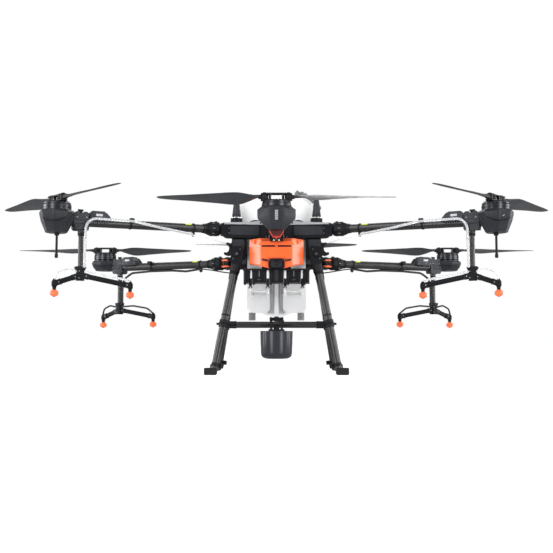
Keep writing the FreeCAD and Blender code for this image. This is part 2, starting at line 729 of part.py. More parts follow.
def radar():
    """Round terrain radar hung from the front cross tube by two lugs."""
    radius = size("radar_radius")
    low, high = size("radar_low"), size("radar_high")
    drum = spin([(0, low), (radius - 22, low), (radius - 9, low + 4), (radius - 3, low + 13),
                 (radius - 1.5, low + 24), (radius, high - 4), (radius - 2, high), (0, high)])
    drum = placed(drum, Vector(0, -size("radar_y"), 0), Rotation())
    spot = leg_spot(1, -1, size("cross_z"))
    pieces = [drum, block((-30, spot.y - 20, high - 2), (60, 46, 8))]
    for side in (-1, 1):
        pieces.append(block((side * 20 - 4, spot.y - 15, high), (8, 30, size("cross_z") + 14 - high)))
    tube = rod("cross_radius", 200, (-100, spot.y, spot.z), "x")
    node("radar", cut(fuse(*pieces), tube))


# ---- assembly ------------------------------------------------------------------------------

for arm in FRONT_ARMS:
    build_side_arm(arm, FRONT_POD, True, front_hose)
for arm in REAR_ARMS:
    build_side_arm(arm, REAR_POD, False, rear_hose)
for arm in (NOSE_ARM, TAIL_ARM):
    build_center_arm(arm)
for build_airframe_piece in (front_beam, rear_beam, side_frames, front_shell, fpv_camera, pump_bank,
                             spray_tank, tank_lid, battery, rtk_antennas, landing_legs, leg_feet,
                             cross_tubes, radar):
    build_airframe_piece()

doc.recompute()
for item in doc.Objects:
    if "Invalid" in item.State or "Error" in item.State:
        raise RuntimeError(f"{item.Name} ({item.Label}) failed: {item.State}")
for item in nodes:
    if item.Shape.isNull() or not item.Shape.isValid():
        raise RuntimeError(f"{item.Label} has no valid shape")

os.makedirs("parts", exist_ok=True)
for item in nodes:
    item.Shape.exportStep(f"parts/{item.Label}.step")
    box = item.Shape.BoundBox
    print(f"{item.Label}: {len(item.Shape.Solids)} solids, x {box.XMin:.1f}..{box.XMax:.1f}, "
          f"y {box.YMin:.1f}..{box.YMax:.1f}, z {box.ZMin:.1f}..{box.ZMax:.1f}")
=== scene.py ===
"""Six-rotor crop sprayer: the looks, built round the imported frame.

Shapes are drawn in millimetres in a local frame, then stood in the row frame in metres.
"""
import json
import math

import bmesh
import bpy
from mathutils import Matrix, Vector


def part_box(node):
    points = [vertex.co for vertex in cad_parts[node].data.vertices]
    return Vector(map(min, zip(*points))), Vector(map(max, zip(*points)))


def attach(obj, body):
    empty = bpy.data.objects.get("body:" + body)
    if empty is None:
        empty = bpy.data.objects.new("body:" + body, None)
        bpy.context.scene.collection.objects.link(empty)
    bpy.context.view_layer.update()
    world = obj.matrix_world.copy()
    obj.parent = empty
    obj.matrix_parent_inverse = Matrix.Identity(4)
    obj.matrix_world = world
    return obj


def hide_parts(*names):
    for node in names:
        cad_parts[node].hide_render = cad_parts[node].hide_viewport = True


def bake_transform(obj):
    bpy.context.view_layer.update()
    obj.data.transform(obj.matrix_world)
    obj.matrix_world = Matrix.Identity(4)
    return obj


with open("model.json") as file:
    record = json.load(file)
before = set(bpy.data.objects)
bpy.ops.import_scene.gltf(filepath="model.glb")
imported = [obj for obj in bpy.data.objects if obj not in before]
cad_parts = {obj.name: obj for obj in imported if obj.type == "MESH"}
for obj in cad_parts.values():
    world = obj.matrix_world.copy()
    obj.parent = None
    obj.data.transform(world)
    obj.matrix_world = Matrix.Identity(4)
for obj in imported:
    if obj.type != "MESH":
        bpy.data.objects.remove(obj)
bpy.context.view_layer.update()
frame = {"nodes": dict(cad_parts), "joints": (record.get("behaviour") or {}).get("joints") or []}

MM = 0.001
TAU = 2 * math.pi
# edges that turn by more than this many radians are bevelled
SHARP_ANGLE = 0.45
LEG_RADIUS = 16.5
CROSS_RADIUS = 9
# the floor glows from the first strength to the second between the two distances in metres
FLOOR_GLOW = (0.7, 0.96)
FLOOR_FADE = (1.0, 5.0)
JOINTS = {joint["name"]: joint for joint in frame["joints"]}
SIDE_ARMS = ("front_left", "front_right", "rear_left", "rear_right")
CENTER_ARMS = ("nose", "tail")


# ---- shapes --------------------------------------------------------------------------------

def turn_z(degrees):
    return Matrix.Rotation(math.radians(degrees), 4, "Z")


def turn_y(degrees):
    return Matrix.Rotation(math.radians(degrees), 4, "Y")


def turn_x(degrees):
    return Matrix.Rotation(math.radians(degrees), 4, "X")


def shift(x, y, z):
    return Matrix.Translation((x, y, z))


def along(axis):
    """The turn that takes +Z to an axis given by its letter."""
    return {"x": turn_y(90), "y": turn_x(-90), "z": Matrix()}[axis]


def oval(radius, count=40, phase=0.0):
    """A circle as a list of flat points."""
    points = []
    for step in range(count):
        angle = phase + TAU * step / count
        points.append((radius * math.cos(angle), radius * math.sin(angle)))
    return points


def facet(angle, sides=8):
    """How far an even polygon lies inside its circle at an angle; flats face the axes."""
    half = math.pi / sides
    local = (angle + half) % (2 * half) - half
    return math.cos(half) / math.cos(local)


def facet_ring(radius, z, soft=0.2, count=64, shift_x=0.0):
    """A rounded octagon as a ring of points."""
    ring = []
    for step in range(count):
        angle = TAU * (step + 0.5) / count
        reach = radius * (facet(angle) * (1 - soft) + soft * math.cos(math.pi / 8))
        ring.append((shift_x + reach * math.cos(angle), reach * math.sin(angle), z))
    return ring


def circle_ring(radius, z, count=64):
    return [(x, y, z) for x, y in oval(radius, count, phase=TAU * 0.5 / count)]


def rounded(points, radius, steps=4):
    """A polygon with its corners rounded."""
    result = []
    count = len(points)
    for index, point in enumerate(points):
        corner = Vector(point)
        before = Vector(points[index - 1]) - corner
        after = Vector(points[(index + 1) % count]) - corner
        reach = min(radius, before.length * 0.45, after.length * 0.45)
        start = corner + before.normalized() * reach
        end = corner + after.normalized() * reach
        for step in range(steps + 1):
            blend = step / steps
            spot = start * (1 - blend) ** 2 + corner * 2 * blend * (1 - blend) + end * blend ** 2
            result.append((spot.x, spot.y))
    return result


def smooth_path(points, steps=8):
    """Points along the quadratic spline that the control points steer."""
    corners = [Vector(point) for point in points]
    if len(corners) < 3:
        return corners
    path = [corners[0]]
    start = corners[0]
    for index in range(1, len(corners) - 1):
        last = index == len(corners) - 2
        end = corners[-1] if last else (corners[index] + corners[index + 1]) / 2
        for step in range(1, steps + 1):
            blend = step / steps
            path.append(start * (1 - blend) ** 2 + corners[index] * 2 * blend * (1 - blend)
                        + end * blend ** 2)
        start = end
    return path


class Shape:
    """A mesh being built from parts, in millimetres, each part with its own material."""

    def __init__(self):
        self.mesh = bmesh.new()
        self.mesh.loops.layers.uv.new("UVMap")
        self.materials = []

    def take(self, part, material, bevel=0.0, segments=2, where=None):
        """Bevel and place a part, then add it to the shape with its material."""
        if bevel:
            sharp = [edge for edge in part.edges
                     if len(edge.link_faces) == 2 and edge.calc_face_angle(0) > SHARP_ANGLE]
            bmesh.ops.bevel(part, geom=sharp, offset=bevel, segments=segments, profile=0.6,
                            affect="EDGES", clamp_overlap=True)
        if where is not None:
            bmesh.ops.transform(part, matrix=where, verts=part.verts)
        bmesh.ops.recalc_face_normals(part, faces=part.faces)
        if material not in self.materials:
            self.materials.append(material)
        index = self.materials.index(material)
        for face in part.faces:
            face.material_index = index
            face.smooth = True
        carrier = bpy.data.meshes.new("carrier")
        part.to_mesh(carrier)
        part.free()
        self.mesh.from_mesh(carrier)
        bpy.data.meshes.remove(carrier)
        return self

    def block(self, low, high, material, bevel=1.0, where=None, segments=2):
        part = bmesh.new()
        bmesh.ops.create_cube(part, size=1)
        for vert in part.verts:
            for axis in range(3):
                vert.co[axis] = low[axis] if vert.co[axis] < 0 else high[axis]
        return self.take(part, material, bevel, segments, where)

    def rings(self, rings, material, caps=True, bevel=0.0, where=None, segments=2):
        """A skin through rings of equal count."""
        part = bmesh.new()
        uv = part.loops.layers.uv.new("UVMap")
        rows = [[part.verts.new(point) for point in ring] for ring in rings]
        count = len(rings[0])
        run = 0.0
        for low, high in zip(rows, rows[1:]):
            step_length = (high[0].co - low[0].co).length
            around = 0.0
            for index in range(count):
                after = (index + 1) % count
                width = (low[after].co - low[index].co).length
                corners = ((low[index], around, run), (low[after], around + width, run),
                           (high[after], around + width, run + step_length),
                           (high[index], around, run + step_length))
                if len({corner[0].co.to_tuple(4) for corner in corners}) < 3:
                    around += width
                    continue
                face = part.faces.new([corner[0] for corner in corners])
                for loop, corner in zip(face.loops, corners):
                    loop[uv].uv = (corner[1], corner[2])
                around += width
            run += step_length
        if caps:
            part.faces.new(rows[0])
            part.faces.new(rows[-1])
        bmesh.ops.remove_doubles(part, verts=part.verts, dist=0.0005)
        return self.take(part, material, bevel, segments, where)

    def prism(self, outline, low, high, material, axis="z", bevel=1.0, where=None, segments=2):
        """An outline pushed along an axis: (x, y) for z, (y, z) for x, (x, z) for y."""
        order = {"z": (0, 1, 2), "x": (1, 2, 0), "y": (0, 2, 1)}[axis]
        rings = []
        for level in (low, high):
            ring = []
            for first, second in outline:
                point = [0, 0, 0]
                point[order[0]], point[order[1]], point[order[2]] = first, second, level
                ring.append(tuple(point))
            rings.append(ring)
        return self.rings(rings, material, True, bevel, where, segments)

    def turned(self, profile, material, at=(0, 0, 0), axis="z", count=48, where=None):
        """A (radius, height) profile turned round an axis; it closes on the axis itself."""
        place = shift(*at) @ along(axis)
        if where is not None:
            place = where @ place
        rings = []
        for radius, height in profile:
            rings.append([(x, y, height) for x, y in oval(max(radius, 0.001), count)])
        return self.rings(rings, material, True, 0, place)

    def rod(self, radius, low, high, material, at=(0, 0, 0), axis="z", chamfer=0.8, where=None, count=32):
        chamfer = min(chamfer, radius * 0.5, (high - low) * 0.4)
        profile = ((radius - chamfer, low), (radius, low + chamfer), (radius, high - chamfer),
                   (radius - chamfer, high))
        return self.turned(profile, material, at, axis, count, where)

    def ring(self, inner, outer, low, high, material, at=(0, 0, 0), axis="z", where=None, count=40):
        """A short tube with its bore."""
        chamfer = min(0.8, (outer - inner) * 0.3, (high - low) * 0.3)
        profile = ((inner, low), (outer - chamfer, low), (outer, low + chamfer), (outer, high - chamfer),
                   (outer - chamfer, high), (inner, high), (inner, low))
        place = shift(*at) @ along(axis)
        if where is not None:
            place = where @ place
        rings = [[(x, y, height) for x, y in oval(radius, count)] for radius, height in profile]
        return self.rings(rings, material, False, 0, place)

    def sweep(self, points, radius, material, count=14, where=None, steps=8, flat=1.0):
        """A round bar along a smooth path."""
        path = smooth_path(points, steps)
        side = None
        rings = []
        for index, spot in enumerate(path):
            ahead = path[min(index + 1, len(path) - 1)] - path[max(index - 1, 0)]
            ahead.normalize()
            if side is None:
                side = ahead.orthogonal().normalized()
            side = (side - ahead * side.dot(ahead)).normalized()
            other = ahead.cross(side)
            rings.append([tuple(spot + side * (radius * math.cos(TAU * step / count))
                                + other * (radius * flat * math.sin(TAU * step / count)))
                          for step in range(count)])
        return self.rings(rings, material, True, 0, where)

    def bolt(self, at, material, axis="z", radius=3.0, height=2.6, where=None):
        """A socket-head screw, its head rising along the axis."""
        profile = ((radius, 0), (radius, height * 0.8), (radius * 0.88, height), (radius * 0.52, height),
                   (radius * 0.48, height * 0.35), (0, height * 0.35))
        return self.turned(profile, material, at, axis, 18, where)

    def piece(self, name, body, where=None, replaces=(), crease=32):
        """Finish the mesh and stand it in the row frame; it rides on a body when one is given."""
        scale = Matrix.Scale(MM, 4)
        matrix = scale @ where if where is not None else scale
        bmesh.ops.transform(self.mesh, matrix=matrix, verts=self.mesh.verts)
        mesh = bpy.data.meshes.new(name)
        self.mesh.to_mesh(mesh)
        self.mesh.free()
        for material in self.materials:
            mesh.materials.append(material)
        mesh.set_sharp_from_angle(angle=math.radians(crease))
        item = bpy.data.objects.new(name, mesh)
        bpy.context.scene.collection.objects.link(item)
        if body:
            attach(item, body)
        if replaces:
            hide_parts(*replaces)
        return item


# ---- materials -----------------------------------------------------------------------------

def shader(name):
    material = bpy.data.materials.new(name)
    material.use_nodes = True
    tree = material.node_tree
    surface = next(node for node in tree.nodes if node.type == "BSDF_PRINCIPLED")
    return material, tree, surface


def node(tree, kind, **values):
    made = tree.nodes.new(kind)
    for key, value in values.items():
        if key in made.inputs:
            made.inputs[key].default_value = value
        else:
            setattr(made, key, value)
    return made


def noise(tree, scale, detail=3.0, stretch=(1, 1, 1), kind="Object"):
    place = tree.nodes.new("ShaderNodeTexCoord")
    mapping = node(tree, "ShaderNodeMapping", Scale=stretch)
    texture = node(tree, "ShaderNodeTexNoise", Scale=scale, Detail=detail)
    tree.links.new(place.outputs[kind], mapping.inputs["Vector"])
    tree.links.new(mapping.outputs["Vector"], texture.inputs["Vector"])
    return texture.outputs["Fac"]


def spread(tree, source, low, high, start=0.3, end=0.7):
    """Map a noise value onto a range of numbers."""
    made = node(tree, "ShaderNodeMapRange")
    for key, value in (("From Min", start), ("From Max", end), ("To Min", low), ("To Max", high)):
        made.inputs[key].default_value = value
    tree.links.new(source, made.inputs["Value"])
    return made.outputs["Result"]


def mix(tree, factor, first, second):
    made = tree.nodes.new("ShaderNodeMix")
    made.data_type = "RGBA"
    if isinstance(factor, float):
        made.inputs["Factor"].default_value = factor
    else:
        tree.links.new(factor, made.inputs["Factor"])
    for key, colour in (("A", first), ("B", second)):
        socket = next(s for s in made.inputs if s.name == key and s.type == "RGBA")
        if isinstance(colour, tuple):
            socket.default_value = (*colour, 1)
        else:
            tree.links.new(colour, socket)
    return next(s for s in made.outputs if s.type == "RGBA")


def shade(colour, factor):
    return tuple(min(1.0, channel * factor) for channel in colour)


def bump(tree, surface, source, depth, strength=0.5):
    made = node(tree, "ShaderNodeBump", Strength=strength, Distance=depth)
    tree.links.new(source, made.inputs["Height"])
    tree.links.new(made.outputs["Normal"], surface.inputs["Normal"])


def moulded(name, colour, rough=0.5, grain=900, depth=0.00012, vary=0.18, coat=0.0, metallic=0.0,
            stretch=(1, 1, 1), scuff=0.12, sheen=0.5):
    """Moulded or finished surface: fine grain, cloudy colour and patchy gloss."""
    material, tree, surface = shader(name)
    surface.inputs["Metallic"].default_value = metallic
    surface.inputs["Coat Weight"].default_value = coat
    surface.inputs["Coat Roughness"].default_value = 0.15
    surface.inputs["Specular IOR Level"].default_value = sheen
    cloud = noise(tree, 11, 4)
    patch = spread(tree, cloud, 0.0, 1.0)
    tint = mix(tree, patch, shade(colour, 1 - vary), shade(colour, 1 + vary))
    speck = noise(tree, grain * 0.4, 2, stretch)
    fleck = spread(tree, speck, 0.0, 0.22, 0.55, 0.75)
    tree.links.new(mix(tree, fleck, tint, shade(colour, 1.7)), surface.inputs["Base Color"])
    gloss = noise(tree, 46, 5, stretch)
    tree.links.new(spread(tree, gloss, rough - scuff / 2, rough + scuff / 2), surface.inputs["Roughness"])
    bump(tree, surface, noise(tree, grain, 2, stretch), depth)
    return material


def woven(name, pitch=2.6, dark=0.018, light=0.05):
    """Twill carbon cloth under clear lacquer, laid out by the piece's own UV millimetres."""
    material, tree, surface = shader(name)
    place = tree.nodes.new("ShaderNodeTexCoord")
    split = tree.nodes.new("ShaderNodeSeparateXYZ")
    tree.links.new(place.outputs["UV"], split.inputs["Vector"])

    def calc(operation, first, second=None):
        made = node(tree, "ShaderNodeMath", operation=operation)
        for socket, value in zip(made.inputs, (first, second)):
            if isinstance(value, (int, float)):
                socket.default_value = value
            elif value is not None:
                tree.links.new(value, socket)
        return made.outputs[0]

    cells = [calc("FLOOR", calc("DIVIDE", split.outputs[key], pitch)) for key in ("X", "Y")]
    stripe = calc("FLOORED_MODULO", calc("ADD", cells[0], cells[1]), 4.0)
    over = calc("LESS_THAN", stripe, 1.5)
    threads = [calc("ABSOLUTE", calc("SINE", calc("MULTIPLY", split.outputs[key], math.pi / pitch)))
               for key in ("X", "Y")]
    crown = calc("ADD", calc("MULTIPLY", over, threads[0]),
                 calc("MULTIPLY", calc("SUBTRACT", 1.0, over), threads[1]))
    cloud = spread(tree, noise(tree, 17, 3), 0.7, 1.3)
    level = calc("MULTIPLY", spread(tree, over, dark, light, 0, 1), cloud)
    tint = node(tree, "ShaderNodeCombineColor")
    for key in ("Red", "Green", "Blue"):
        tree.links.new(level, tint.inputs[key])
    tree.links.new(tint.outputs["Color"], surface.inputs["Base Color"])
    tree.links.new(spread(tree, over, 0.34, 0.46, 0, 1), surface.inputs["Roughness"])
    surface.inputs["Coat Weight"].default_value = 0.35
    surface.inputs["Coat Roughness"].default_value = 0.22
    bump(tree, surface, crown, 0.00008, 0.4)
    return material


def translucent(name, colour, rough=0.38, through=0.3):
    """Milky blow-moulded wall that lets some light through."""
    material, tree, surface = shader(name)
    cloud = noise(tree, 7, 3)
    tree.links.new(mix(tree, spread(tree, cloud, 0, 1), shade(colour, 0.93), colour),
                   surface.inputs["Base Color"])
    surface.inputs["Transmission Weight"].default_value = through
    surface.inputs["Subsurface Weight"].default_value = 0.25
    surface.inputs["Subsurface Radius"].default_value = (0.01, 0.01, 0.012)
    surface.inputs["Subsurface Scale"].default_value = 1.0
    surface.inputs["IOR"].default_value = 1.45
    tree.links.new(spread(tree, noise(tree, 60, 4), rough - 0.06, rough + 0.08), surface.inputs["Roughness"])
    bump(tree, surface, noise(tree, 240, 2), 0.0003, 0.25)
    return material


def glowing(name, colour, strength):
    material, tree, surface = shader(name)
    cells = spread(tree, noise(tree, 400, 1), 0.8, 1.0)
    tree.links.new(mix(tree, cells, shade(colour, 0.85), colour), surface.inputs["Base Color"])
    surface.inputs["Emission Color"].default_value = (*colour, 1)
    surface.inputs["Emission Strength"].default_value = strength
    surface.inputs["Roughness"].default_value = 0.3
    return material


PLASTIC = moulded("black_plastic", (0.008, 0.0088, 0.0108), 0.5, sheen=0.1)
POD = moulded("pod_plastic", (0.019, 0.021, 0.0265), 0.42, sheen=0.3)
CLAMP = moulded("clamp_plastic", (0.008, 0.0085, 0.0105), 0.5, sheen=0.2)
RUBBER = moulded("rubber", (0.013, 0.0132, 0.0145), 0.72, grain=500, depth=0.0002, scuff=0.2, sheen=0.3)
HOSE_BLACK = moulded("black_hose", (0.012, 0.012, 0.0135), 0.5, grain=300, sheen=0.4)
HOSE_WHITE = translucent("white_hose", (0.8, 0.82, 0.84), 0.2, 0.5)
SLAT_WHITE = moulded("pale_slat", (0.8, 0.81, 0.83), 0.4, vary=0.04)
HOSE_CLEAR = translucent("clear_hose", (0.95, 0.96, 0.97), 0.25, 0.3)
ANODISED = moulded("anodised", (0.05, 0.052, 0.058), 0.3, metallic=0.9, grain=1400, depth=0.00004)
STEEL = moulded("steel", (0.2, 0.205, 0.215), 0.34, metallic=1.0, grain=1200, depth=0.00003, vary=0.08)
SILVER = moulded("satin_silver", (0.6, 0.61, 0.63), 0.3, metallic=1.0, grain=900, depth=0.00003,
                 stretch=(1, 1, 12), vary=0.06)
ORANGE = moulded("orange_shell", (0.94, 0.125, 0.02), 0.36, grain=700, depth=0.00004, vary=0.04, coat=0.4,
                 scuff=0.06)
ORANGE_SOFT = moulded("orange_plastic", (0.88, 0.15, 0.045), 0.4, grain=700, vary=0.08)
GREY = moulded("grey_plastic", (0.17, 0.17, 0.175), 0.5)
# light grey for the front beam's top lip: a painted highlight for light caught along the top edge
LIP_PAINTED_HIGHLIGHT = moulded("beam_lip_painted_highlight", (0.3, 0.31, 0.33), 0.34, vary=0.06)
LIGHT_GREY = moulded("light_grey", (0.42, 0.43, 0.45), 0.45, vary=0.08)
BLADE = moulded("blade_composite", (0.03, 0.032, 0.037), 0.42, grain=800, depth=0.00008, sheen=0.4)
LENS = moulded("lens_glass", (0.01, 0.01, 0.014), 0.06, depth=0.0, coat=1.0, vary=0.05, scuff=0.02)
RED_LENS = moulded("red_lens", (0.055, 0.004, 0.004), 0.2, depth=0.0, coat=1.0, vary=0.1, scuff=0.04)
MARK = moulded("mark_tape", (0.62, 0.75, 0.06), 0.4, vary=0.05)
RED_EDGE = moulded("red_edge", (0.4, 0.022, 0.012), 0.3, vary=0.05)
RADAR_DOME = moulded("radar_dome", (0.02, 0.0225, 0.029), 0.3, grain=900, depth=0.00002, coat=0.3,
                     scuff=0.05, sheen=0.3)
CARBON = woven("carbon_tube", dark=0.007, light=0.019)
TANK = translucent("tank_wall", (0.95, 0.955, 0.965), 0.36, 0.15)
# grey copy of the tank wall: painted shade for the shaded valley between the front lobes
TANK_VALLEY_PAINTED_SHADE = translucent("tank_valley_painted_shade", (0.5, 0.51, 0.54), 0.4, 0.2)
LIGHT = glowing("lamp_cells", (0.3, 0.31, 0.32), 0.04)


# ---- camera, floor and light ---------------------------------------------------------------

CAMERA_AT = Vector((0, -3.46, 0.13))
CAMERA_TILT = 4.67
CAMERA_LENS = 52.2
SKY_LIGHT = 0.36
# name, place, width, height and power of each soft lamp; the two strips draw the radar's highlights
LAMPS = (("key", (-1.9, -2.8, 3.0), 2.2, 2.2, 70), ("fill", (2.4, -2.6, 2.6), 2.0, 2.0, 45),
         ("strip_left", (-2.1, -3.1, 0.5), 1.0, 2.2, 42), ("strip_right", (2.1, -3.1, 0.5), 1.0, 2.2, 42),
         ("side_left", (-3.3, 0.1, 0.8), 1.8, 2.0, 62), ("side_right", (3.3, 0.1, 0.8), 1.8, 2.0, 62),
         ("back", (0, 3.0, 3.0), 2.5, 2.5, 60))


def studio():
    """Floor, surroundings, lamps and camera."""
    camera = bpy.data.objects.new("camera", bpy.data.cameras.new("camera"))
    camera.data.lens = CAMERA_LENS
    camera.data.sensor_width = 36
    camera.location = CAMERA_AT
    camera.rotation_euler = (math.radians(90 + CAMERA_TILT), 0, 0)
    bpy.context.scene.collection.objects.link(camera)
    bpy.context.scene.camera = camera

    floor_mesh = bmesh.new()
    bmesh.ops.create_grid(floor_mesh, x_segments=1, y_segments=1, size=30)
    mesh = bpy.data.meshes.new("floor")
    floor_mesh.to_mesh(mesh)
    floor_mesh.free()
    floor = bpy.data.objects.new("floor", mesh)
    floor.visible_glossy = False
    material, tree, surface = shader("floor_white")
    surface.inputs["Base Color"].default_value = (0.5, 0.5, 0.5, 1)
    surface.inputs["Roughness"].default_value = 0.85
    surface.inputs["Emission Color"].default_value = (1, 1, 1, 1)
    reach = node(tree, "ShaderNodeVectorMath", operation="LENGTH")
    tree.links.new(tree.nodes.new("ShaderNodeTexCoord").outputs["Object"], reach.inputs[0])
    glow = spread(tree, reach.outputs["Value"], *FLOOR_GLOW, *FLOOR_FADE)
    tree.links.new(glow, surface.inputs["Emission Strength"])
    mesh.materials.append(material)
    bpy.context.scene.collection.objects.link(floor)

    world = bpy.data.worlds.new("studio")
    world.use_nodes = True
    tree = world.node_tree
    soft = tree.nodes["Background"]
    soft.inputs["Color"].default_value = (1, 1, 1, 1)
    soft.inputs["Strength"].default_value = SKY_LIGHT
    white = node(tree, "ShaderNodeBackground", Color=(1, 1, 1, 1), Strength=1.0)
    seen = tree.nodes.new("ShaderNodeLightPath")
    blend = tree.nodes.new("ShaderNodeMixShader")
    tree.links.new(seen.outputs["Is Camera Ray"], blend.inputs["Fac"])
    tree.links.new(soft.outputs[0], blend.inputs[1])
    tree.links.new(white.outputs[0], blend.inputs[2])
    tree.links.new(blend.outputs[0], tree.nodes["World Output"].inputs["Surface"])
    bpy.context.scene.world = world
    bpy.context.scene.view_settings.view_transform = "Standard"

    for name, place, width, height, power in LAMPS:
        lamp = bpy.data.lights.new(name, "AREA")
        lamp.shape = "RECTANGLE"
        lamp.size = width
        lamp.size_y = height
        lamp.energy = power
        item = bpy.data.objects.new(name, lamp)
        item.location = place
        aim = Vector((0, 0, 0.4)) - Vector(place)
        item.rotation_euler = aim.to_track_quat("-Z", "Y").to_euler()
        bpy.context.scene.collection.objects.link(item)


# ---- places taken from the frame -----------------------------------------------------------

def spot(joint):
    return Vector(JOINTS[joint]["pos_m"]) / MM


def heading(run):
    return math.degrees(math.atan2(run.y, run.x))


# how far the side arms' tubes rise above the level of their clamps, at the hinge
HINGE_LIFT = {"front": 11, "rear": -8}


class Place:
    """Where an arm, its motor and its rotor stand, worked out from the joints."""

    def __init__(self, name, hand):
        self.name = name
        self.front = name.startswith("front")
        self.hand = hand
        self.pivot = spot(f"fold_{name}")
        self.hub = spot(f"spin_{name}")
        run = self.hub - self.pivot
        self.rise = run.z
        run.z = 0
        self.length = run.length
        self.angle = heading(run)
        self.blade_angle = heading(spot(f"blade_fold_{name}_a") - self.hub)
        self.blade_root = (spot(f"blade_fold_{name}_a") - self.hub).length
        self.front_side = -1 if self.pivot.x > 1 else 1
        self.root = shift(*self.pivot) @ turn_z(self.angle)
        self.motor = self.root @ shift(self.length, 0, 0)
        self.lift = HINGE_LIFT.get(name.split("_")[0], 0)
        self.knuckle = shift(0, 0, self.lift) @ self.root
        self.tube = self.knuckle @ turn_y(math.degrees(math.atan2(self.lift, self.length)))
        self.rotor = shift(*self.hub) @ turn_z(self.blade_angle)
        self.facing = -90 - self.angle


ARMS = [Place("front_left", -1), Place("front_right", 1), Place("rear_left", 1), Place("rear_right", -1),
        Place("nose", 1), Place("tail", -1)]


def high_corner(name):
    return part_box(name)[1] / MM


# ---- rotors --------------------------------------------------------------------------------

BLADE_LENGTH = 377
# how far out along the blade, chord, thickness and pitch of each section
BLADE_SECTIONS = ((0.03, 17, 13, 0), (0.07, 27, 12.5, 2), (0.13, 50, 9.5, 15), (0.25, 80, 8.5, 22),
                  (0.45, 74, 7, 18), (0.69, 57, 5, 13), (0.9, 40, 3.6, 9.5), (0.985, 24, 2.6, 8),
                  (1.0, 9, 1.6, 8))


def between(table, at):
    """Values of a table at a place along its first column, on a smooth curve."""
    last = len(table) - 1
    index = max(i for i in range(last) if table[i][0] <= at + 1e-9)
    first, second = table[index], table[index + 1]
    before, after = table[max(index - 1, 0)], table[min(index + 2, last)]
    span = second[0] - first[0]
    blend = (at - first[0]) / span
    values = []
    for column in range(1, len(first)):
        start, end = first[column], second[column]
        rise_in = (end - before[column]) / (second[0] - before[0]) * span
        rise_out = (after[column] - start) / (after[0] - first[0]) * span
        square, cube = blend ** 2, blend ** 3
        values.append((2 * cube - 3 * square + 1) * start + (cube - 2 * square + blend) * rise_in
                      + (3 * square - 2 * cube) * end + (cube - square) * rise_out)
    return values


def airfoil(at, hand, count=30):
    chord, thickness, pitch = between(BLADE_SECTIONS, at)
    tilt = math.radians(pitch * hand)
    ring = []
    for step in range(count):
        angle = TAU * step / count
        back = (1 - math.cos(angle)) / 2
        body = 2.6 * math.sqrt(back) * (1 - back)
        share = 0.62 if angle < math.pi else -0.38
        height = share * thickness * body + 0.09 * thickness * math.sin(math.pi * back)
        across = (0.38 - back) * chord * hand
        ring.append((at * BLADE_LENGTH, across * math.cos(tilt) - height * math.sin(tilt),
                     across * math.sin(tilt) + height * math.cos(tilt)))
    return ring


def build_blade(arm, letter, half_turn):
    """One folding blade from its root to its tip."""
    where = arm.rotor @ turn_z(half_turn) @ shift(arm.blade_root, 0, 0)
    shape = Shape()
    stations = 46
    first, last = BLADE_SECTIONS[0][0], BLADE_SECTIONS[-1][0]
    rings = [airfoil(first + (last - first) * (step / stations) ** 0.85, arm.hand)
             for step in range(stations + 1)]
    shape.rings(rings, BLADE)
    shape.ring(4.2, 13.4, -7.8, 7.8, CLAMP)
    shape.block((6, -8.5, -6.3), (22, 8.5, 6.3), CLAMP, 1.6)
    for side in (-1, 1):
        shape.bolt((17, side * 4.5, 6), STEEL, radius=2.1, height=1.2)
    shape.piece(f"blade_{arm.name}_{letter}_skin", f"blade_{arm.name}_{letter}", where,
                [f"blade_{arm.name}_{letter}"], 40)


BELL_PROFILE = ((44, -47), (51.5, -47), (52.5, -46), (52.5, -39), (50.8, -38.4), (50.8, -36.8), (52.5, -36.2),
                (52.5, -27.5), (51.6, -26.6), (49.4, -26.4), (49.4, -23.4), (50.6, -22.6), (50.4, -19),
                (48, -15.6), (44, -14), (21, -13.4), (20, -12.6), (0, -12.6))


def build_rotor_hub(arm):
    """Motor bell and the clamps that hold the two blades."""
    shape = Shape()
    shape.turned(BELL_PROFILE, ANODISED, count=72)
    shape.ring(44, 48.5, -47.4, -17, CLAMP)
    for step in range(24):
        spoke = turn_z(15 * step)
        shape.block((25, -1.3, -14.2), (46, 1.3, -12.4), ANODISED, 0.5, spoke, 1)
    for step in range(36):
        rib = turn_z(10 * step)
        shape.block((49.2, -1.5, -27.2), (51.4, 1.5, -22.8), ANODISED, 0.4, rib, 1)
    for low, high in ((-12.6, -8.4), (8.4, 12.6)):
        outline = rounded([(-55, -14), (-26, -14), (-18, -10), (18, -10), (26, -14), (55, -14),
                           (55, 14), (26, 14), (18, 10), (-18, 10), (-26, 14), (-55, 14)], 9)
        shape.prism(outline, low, high, CLAMP, bevel=0.7)
    for side in (-1, 1):
        shape.block((side * 24.5 - 3, -12.5, -9), (side * 24.5 + 3, 12.5, 9), CLAMP, 0.8)
        for across in (-1, 1):
            shape.rod(2.2, -9, 9, STEEL, (side * 20, across * 7, 0), count=16)
            shape.bolt((side * 31.5, across * 10, 12.5), STEEL, radius=2.4, height=2.2)
        shape.rod(4, -14, 14, STEEL, (side * arm.blade_root, 0, 0), count=24)
        shape.turned(((7.6, 12.4), (7.6, 15), (6.8, 16.2), (3.6, 16.2), (3.4, 14.2), (0, 14.2)), CLAMP,
                     (side * arm.blade_root, 0, 0), count=24)
        shape.turned(((0, -15.4), (6.2, -15.4), (6.8, -14.6), (6.8, -12.4)), CLAMP,
                     (side * arm.blade_root, 0, 0), count=24)
    shape.prism(rounded([(-30, -4), (30, -4), (30, 4), (-30, 4)], 3), 12.4, 15.6, CLAMP, bevel=0.7)
    shape.rod(7, -14, -8, STEEL, count=28)
    shape.piece(f"rotor_bell_{arm.name}", f"rotor_{arm.name}", arm.rotor,
                [f"rotor_hub_{arm.name}"])


# ---- motor mounts --------------------------------------------------------------------------

